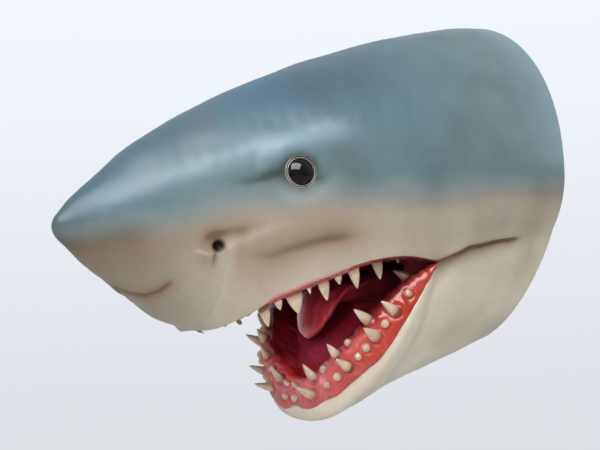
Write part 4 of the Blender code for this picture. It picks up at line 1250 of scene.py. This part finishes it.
def skin_paint():
    """Airbrushed satin paint: blue-grey back, cream underside greyed over, partly as painted shade, a smoky
    border between them, dark grey, pale and brown lines over both, partly painted shade and painted
    highlights, painted shade in the nostril, the lip's pink line, and a fine orange peel."""
    paint = Paint('airbrushed_skin', Coat_Weight=0.05, Coat_Roughness=0.28, IOR=1.25)
    large = paint.noise(3.2, 4, 0.55)
    cloud = paint.noise(9, 5, 0.6, twist=0.4)
    fine = paint.noise(60, 4, 0.6)
    streak = paint.noise(7, 4, 0.55, (1.0, 0.35, 2.6))
    blue = paint.ramp(large, (0.32, (0.044, 0.11, 0.2)), (0.5, (0.052, 0.128, 0.222)),
                      (0.68, (0.068, 0.148, 0.228)))
    teal = paint.ramp(large, (0.32, (0.098, 0.178, 0.2)), (0.5, (0.114, 0.196, 0.206)),
                      (0.68, (0.134, 0.21, 0.21)))
    rear = paint.ramp(large, (0.32, (0.148, 0.218, 0.236)), (0.68, (0.178, 0.246, 0.252)))
    blue = paint.cover(blue, 'teal', teal)
    blue = paint.cover(blue, 'rear', rear)
    blue = paint.cover(blue, 'nose', (0.034, 0.098, 0.14), 0.8)
    blue = paint.mix(paint.spread(streak, 0.42, 0.75, 0.0, 0.4), blue, (0.11, 0.15, 0.15))
    blue = paint.mix(paint.spread(cloud, 0.5, 0.74, 0.0, 0.35), blue, (0.068, 0.122, 0.136))

    cream = paint.ramp(cloud, (0.3, (0.49, 0.44, 0.345)), (0.5, (0.545, 0.494, 0.396)),
                       (0.7, (0.59, 0.542, 0.446)))
    # Grey over the cream, partly painted shade.
    grey_and_shade = paint.ramp(cloud, (0.3, (0.285, 0.248, 0.19)), (0.5, (0.318, 0.284, 0.222)),
                      (0.7, (0.345, 0.318, 0.26)))
    cream = paint.cover(cream, 'veil', grey_and_shade)
    mottle = paint.math('MULTIPLY', paint.spread(streak, 0.45, 0.75, 0.0, 0.3),
                        paint.spread(paint.stored('veil'), 0.0, 0.6, 0.2, 1.0))
    cream = paint.mix(mottle, cream, (0.33, 0.27, 0.2))

    back = paint.math('ADD', paint.stored('back'), paint.spread(streak, 0.3, 0.7, -0.1, 0.1))
    smear = paint.ramp(back, (0.0, (0.375, 0.325, 0.26)), (0.3, (0.272, 0.244, 0.205)),
                       (0.5, (0.205, 0.226, 0.222)), (0.7, (0.14, 0.196, 0.204)),
                       (0.95, (0.095, 0.166, 0.178)))
    colour = paint.mix(paint.spread(back, 0.05, 0.38), cream, smear)
    colour = paint.mix(paint.spread(back, 0.72, 1.0), colour, blue)
    # Dark grey, partly painted shade in the creases, round the eye and under the snout.
    colour = paint.cover(colour, 'dusk', (0.04, 0.05, 0.046), paint.spread(cloud, 0.25, 0.75, 0.7, 1.1))
    # Pale, partly painted highlights on the brow, the nose's ridge, the lips and the jaw.
    pale = paint.mix(paint.spread(back, 0.3, 0.8), (0.64, 0.59, 0.5), (0.265, 0.385, 0.45))
    colour = paint.cover(colour, 'pale', pale, paint.spread(cloud, 0.3, 0.7, 0.45, 0.85))
    # Brown, partly painted shade in the creases and grooves.
    brown = paint.math('MULTIPLY', paint.stored('brown'), paint.spread(fine, 0.25, 0.75, 0.93, 1.0))
    tan = paint.ramp(brown, (0.0, (0.215, 0.142, 0.075)), (0.7, (0.185, 0.116, 0.062)),
                     (1.0, (0.12, 0.074, 0.042)))
    colour = paint.mix(brown, colour, tan)
    # Painted shade in the nostril's hole.
    colour = paint.cover(colour, 'dark', (0.016, 0.006, 0.009))
    colour = paint.cover(colour, 'rose', (0.42, 0.1, 0.1), 0.85)
    colour = paint.cover(colour, 'mouth', (0.05, 0.006, 0.008))
    grain = paint.ramp(fine, (0.3, (0.4, 0.4, 0.4)), (0.7, (0.6, 0.6, 0.6)))
    colour = paint.mix(0.12, colour, grain, 'OVERLAY')
    roughness = paint.math('ADD', paint.spread(cloud, 0.25, 0.75, 0.34, 0.48),
                           paint.math('MULTIPLY', paint.stored('dark'), 0.4))
    peel = paint.bump(paint.noise(420, 2, 0.5), 0.1, 0.0004)
    return paint.finish(colour, roughness, paint.bump(cloud, 0.12, 0.004, peel))


def flesh_paint():
    """Glossy gum enamel: pink in front, orange red on the rear outer slope, both darkened down that slope as
    painted shade, crimson inside, darkened as painted shade, the lining bright red by the gum and black in
    the throat as painted light and shade, a purple painted sheen on the floor, brown painted shade at the
    teeth's feet and along the lip, and painted shade in the corners."""
    paint = Paint('gum_enamel', Coat_Weight=0.3, Coat_Roughness=0.1, IOR=1.28)
    cloud = paint.noise(28, 4, 0.6, twist=0.5)
    fine = paint.noise(140, 3, 0.6)
    front, slope, depth = (paint.stored(name) for name in ('front', 'slope', 'depth'))
    pink = paint.ramp(cloud, (0.28, (0.34, 0.052, 0.062)), (0.5, (0.47, 0.11, 0.118)),
                      (0.72, (0.6, 0.25, 0.26)))
    red = paint.ramp(cloud, (0.28, (0.3, 0.022, 0.02)), (0.5, (0.41, 0.05, 0.042)),
                     (0.72, (0.52, 0.15, 0.14)))
    # Painted shade darkening the gum down its outer slope; at the rear it turns orange red.
    red = paint.mix(paint.spread(slope, 0.1, 0.85, 0.0, 0.88), red, (0.31, 0.026, 0.011))
    pink = paint.mix(paint.spread(slope, 0.35, 1.0, 0.0, 0.8), pink, (0.35, 0.06, 0.052))
    colour = paint.mix(paint.spread(front, 0.4, 0.8), red, pink)
    # Crimson on the inner slope, darker to the rear, as painted shade.
    inner = paint.mix(paint.spread(front, 0.59, 0.8), (0.08, 0.003, 0.007), (0.48, 0.026, 0.024))
    fall = paint.math('ADD', slope, paint.spread(front, 0.2, 0.65, -0.62, 0.0))
    colour = paint.mix(paint.spread(fall, 0.1, -0.55), colour, inner)
    # Painted light and shade down the lining: bright red by the gum, near black in the throat, darker at the
    # sides and rear.
    deep = paint.ramp(depth, (0.0, (0.62, 0.032, 0.026)), (0.14, (0.56, 0.02, 0.026)),
                      (0.36, (0.3, 0.007, 0.024)), (0.62, (0.15, 0.007, 0.02)), (0.85, (0.12, 0.01, 0.018)))
    aside = paint.ramp(depth, (0.0, (0.12, 0.004, 0.009)), (0.36, (0.14, 0.004, 0.014)),
                       (0.62, (0.15, 0.007, 0.018)), (0.85, (0.12, 0.01, 0.018)))
    deep = paint.mix(paint.spread(front, 0.59, 0.79), aside, deep)
    colour = paint.mix(paint.spread(depth, 0.0, 0.08), colour, deep)
    # Purple on the floor beside the hump, partly a painted sheen.
    colour = paint.cover(colour, 'hump', (0.48, 0.06, 0.11), paint.spread(cloud, 0.3, 0.7, 0.4, 0.8))
    # Painted shade on the gum in the mouth's corners.
    colour = paint.cover(colour, 'corner_shade', (0.085, 0.009, 0.014), 0.92)
    # Painted shade at the teeth's feet.
    colour = paint.cover(colour, 'root', (0.15, 0.02, 0.016), 0.62)
    # Painted shade along the gum's edge at the lip.
    colour = paint.cover(colour, 'edge', (0.18, 0.05, 0.03), 0.8)
    roughness = paint.math('ADD', paint.spread(cloud, 0.3, 0.7, 0.16, 0.32),
                           paint.spread(depth, 0.0, 0.4, 0.0, 0.3))
    ripple = paint.bump(paint.noise(75, 3, 0.6, twist=0.6), 0.45, 0.0016, paint.bump(cloud, 0.4, 0.0015))
    return paint.finish(colour, roughness, paint.bump(fine, 0.25, 0.0006, ripple), coat_normal=True)


def tooth_paint():
    """Cream teeth, browner at the gum, with a ring of painted shade where they meet it and painted shade in
    the mouth's corners, under a clear gloss.
    """
    paint = Paint('tooth_cream', Coat_Weight=0.12, Coat_Roughness=0.2, IOR=1.42)
    cloud = paint.noise(90, 4, 0.6)
    rise = paint.stored('rise')
    cream = paint.ramp(cloud, (0.3, (0.35, 0.275, 0.19)), (0.7, (0.45, 0.368, 0.268)))
    colour = paint.mix(paint.spread(rise, 0.34, 0.04), cream, (0.26, 0.15, 0.08))
    # Painted shade in a dark ring where the tooth meets the gum.
    colour = paint.mix(paint.spread(rise, 0.045, 0.0), colour, (0.13, 0.04, 0.024))
    colour = paint.mix(paint.spread(rise, 0.75, 1.0, 0.0, 0.4), colour, (0.6, 0.52, 0.4))
    colour = paint.cover(colour, 'bud', (0.3, 0.19, 0.105), 0.35)
    # Painted shade, with a painted red reflection of the gum, on the teeth in the mouth's corners.
    colour = paint.cover(colour, 'corner_shade', (0.1, 0.026, 0.022), 0.9)
    roughness = paint.spread(cloud, 0.3, 0.7, 0.24, 0.38)
    normal = paint.bump(paint.noise(260, 3, 0.5), 0.15, 0.0004)
    return paint.finish(colour, roughness, normal, coat_normal=True)


def tongue_paint():
    """Red tongue with a painted highlight on its rim and tip, and painted shade darkening it to the rear."""
    paint = Paint('tongue_enamel', Coat_Weight=0.12, Coat_Roughness=0.25, IOR=1.28)
    streak = paint.noise(34, 4, 0.6, (2.4, 0.5, 0.8), twist=0.3)
    colour = paint.ramp(streak, (0.3, (0.15, 0.01, 0.018)), (0.52, (0.23, 0.018, 0.028)),
                        (0.75, (0.32, 0.055, 0.066)))
    # Painted highlight on the rim and the tip.
    colour = paint.cover(colour, 'rim', (0.78, 0.58, 0.62), paint.spread(streak, 0.3, 0.7, 0.75, 1.0))
    # Painted shade, darkening towards the rear.
    colour = paint.mix(paint.spread(paint.stored('length'), 0.75, 0.3), colour, (0.045, 0.005, 0.01))
    roughness = paint.spread(streak, 0.3, 0.7, 0.26, 0.44)
    normal = paint.bump(paint.noise(160, 3, 0.6), 0.3, 0.0006, paint.bump(streak, 0.4, 0.0015))
    return paint.finish(colour, roughness, normal, coat_normal=True)


def eye_glass():
    """Nearly black glass, with faint clouds and polish marks."""
    paint = Paint('eye_glass', IOR=1.33)
    cloud = paint.noise(60, 3, 0.5)
    colour = paint.ramp(cloud, (0.3, (0.0004, 0.0004, 0.0007)), (0.7, (0.0012, 0.0012, 0.002)))
    return paint.finish(colour, paint.spread(cloud, 0.3, 0.7, 0.03, 0.06),
                        paint.bump(paint.noise(90, 2, 0.5), 0.05, 0.0003))


def lid_paint():
    """The rings round the eye: a pale thin rim, a dark gap, and a pinkish outer ring, shaded above."""
    paint = Paint('eye_lid', Coat_Weight=0.3, Coat_Roughness=0.2)
    cloud = paint.noise(120, 3, 0.6)
    reach = paint.stored('reach')
    colour = paint.ramp(reach, (0.0, (0.02, 0.017, 0.015)), (0.13, (0.12, 0.1, 0.085)),
                        (0.22, (0.4, 0.365, 0.32)), (0.32, (0.4, 0.365, 0.32)), (0.42, (0.04, 0.03, 0.026)),
                        (0.52, (0.03, 0.022, 0.02)), (0.64, (0.2, 0.16, 0.14)), (0.76, (0.48, 0.41, 0.37)),
                        (0.9, (0.11, 0.115, 0.11)))
    colour = paint.mix(paint.spread(cloud, 0.35, 0.75, 0.0, 0.45), colour, (0.09, 0.072, 0.06))
    above = paint.spread(paint.stored('over'), -0.2, 0.6)
    shade = paint.math('MULTIPLY', above, paint.spread(reach, 0.4, 0.6))
    colour = paint.mix(paint.math('MULTIPLY', shade, 0.85), colour, (0.035, 0.036, 0.034))
    return paint.finish(colour, paint.spread(cloud, 0.3, 0.7, 0.28, 0.45), paint.bump(cloud, 0.2, 0.0005))


def plywood():
    """Birch board: long grain bands and fine pores."""
    paint = Paint('plywood', IOR=1.4)
    bands = paint.noise(9, 5, 0.6, (1.0, 1.0, 7.0), twist=1.2)
    pores = paint.noise(160, 3, 0.6, (1.0, 1.0, 0.08))
    colour = paint.ramp(bands, (0.32, (0.33, 0.205, 0.11)), (0.52, (0.47, 0.32, 0.185)),
                        (0.7, (0.56, 0.41, 0.25)))
    colour = paint.mix(paint.spread(pores, 0.55, 0.75, 0.0, 0.5), colour, (0.22, 0.13, 0.07))
    return paint.finish(colour, paint.spread(bands, 0.3, 0.7, 0.55, 0.75), paint.bump(pores, 0.3, 0.0005))


def steel():
    """Zinc-plated plate with faint brushed lines and dull patches."""
    paint = Paint('zinc_steel', Metallic=1.0)
    lines = paint.noise(300, 3, 0.6, (0.1, 1.0, 1.0))
    cloud = paint.noise(40, 4, 0.6)
    colour = paint.ramp(cloud, (0.3, (0.43, 0.44, 0.45)), (0.7, (0.64, 0.64, 0.63)))
    return paint.finish(colour, paint.spread(cloud, 0.3, 0.7, 0.28, 0.5), paint.bump(lines, 0.2, 0.0003))


def floor_paint():
    """Matt pale floor with a very faint cloudiness."""
    paint = Paint('pale_floor', Roughness=0.8, Specular_IOR_Level=0.1)
    cloud = paint.noise(1.2, 3, 0.5)
    return paint.finish(paint.ramp(cloud, (0.3, (0.72, 0.73, 0.74)), (0.7, (0.78, 0.78, 0.78))))


# ---------------------------------------------------------------- stage

def area_light(name, stand, target, size, power, colour, spread, unseen):
    """A panel of light that looks at its target. unseen names the rays that miss it: diffuse or glossy."""
    light = bpy.data.lights.new(name, 'AREA')
    light.shape = 'RECTANGLE'
    light.size, light.size_y = size
    light.energy = power
    light.color = colour
    light.spread = math.radians(spread)
    lamp = bpy.data.objects.new(name, light)
    lamp.location = stand
    lamp.rotation_euler = (Vector(target) - Vector(stand)).to_track_quat('-Z', 'Y').to_euler()
    if unseen:
        setattr(lamp, 'visible_' + unseen, False)
    bpy.context.scene.collection.objects.link(lamp)


def room():
    """Pale daylight round the object, brighter overhead, and a little brighter to look at than as a light."""
    world = bpy.data.worlds.new('pale_room')
    world.use_nodes = True
    nodes = Nodes(world.node_tree)
    background = world.node_tree.nodes['Background']
    split = nodes.node('SeparateXYZ')
    nodes.feed(split.inputs[0], nodes.node('TexCoord').outputs['Generated'])
    height = nodes.spread(split.outputs['Z'], -1.0, 1.0)
    nodes.feed(background.inputs['Color'], nodes.ramp(height, *ROOM_COLOURS))
    seen = nodes.node('LightPath').outputs['Is Camera Ray']
    nodes.feed(background.inputs['Strength'], nodes.spread(seen, 0.0, 1.0, ROOM_AS_LIGHT, 1.0))
    bpy.context.scene.world = world


def floor():
    """A square sheet below the head."""
    corners = np.array([(-1, -1, 0), (1, -1, 0), (1, 1, 0), (-1, 1, 0)]) * FLOOR_SIZE / 2 + (0, 0, FLOOR_Z)
    mesh = new_mesh('floor', corners, [[0, 1, 2, 3]], outwards=False)
    mesh.materials.append(floor_paint())
    sheet = bpy.data.objects.new('floor', mesh)
    bpy.context.scene.collection.objects.link(sheet)


def camera():
    """The camera, turned about its own view by a small roll."""
    lens = bpy.data.cameras.new('camera')
    lens.lens = CAMERA_LENS
    lens.sensor_width = 36.0
    view = bpy.data.objects.new('camera', lens)
    turn = (Vector(CAMERA_TARGET) - Vector(CAMERA_PLACE)).to_track_quat('-Z', 'Y').to_matrix()
    turn = turn @ Matrix.Rotation(CAMERA_ROLL, 3, 'Z')
    view.matrix_world = Matrix.Translation(CAMERA_PLACE) @ turn.to_4x4()
    bpy.context.scene.collection.objects.link(view)
    bpy.context.scene.camera = view


def main():
    """Loads the solids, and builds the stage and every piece."""
    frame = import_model()
    camera()
    room()
    floor()
    for light in LIGHTS:
        area_light(*light)
    bpy.context.scene.view_settings.view_transform = 'Standard'
    head_skin(skin_paint())
    gum = flesh_paint()
    flesh('upper_flesh', UPPER, UPPER_TEETH, gum, 'upper_gum')
    flesh('lower_flesh', LOWER, LOWER_TEETH, gum, 'lower_gum')
    cream = tooth_paint()
    all_teeth('upper_teeth', UPPER, UPPER_TEETH, cream)
    all_teeth('lower_teeth', LOWER, LOWER_TEETH, cream)
    tongue(tongue_paint())
    glass, lids = eye_glass(), lid_paint()
    for side_name, side in (('left', 1), ('right', -1)):
        eye(side_name, side, glass, lids)
    for name, material in (('back_board', plywood()), ('hanger_plate', steel())):
        frame["nodes"][name].data.materials.clear()
        frame["nodes"][name].data.materials.append(material)


main()
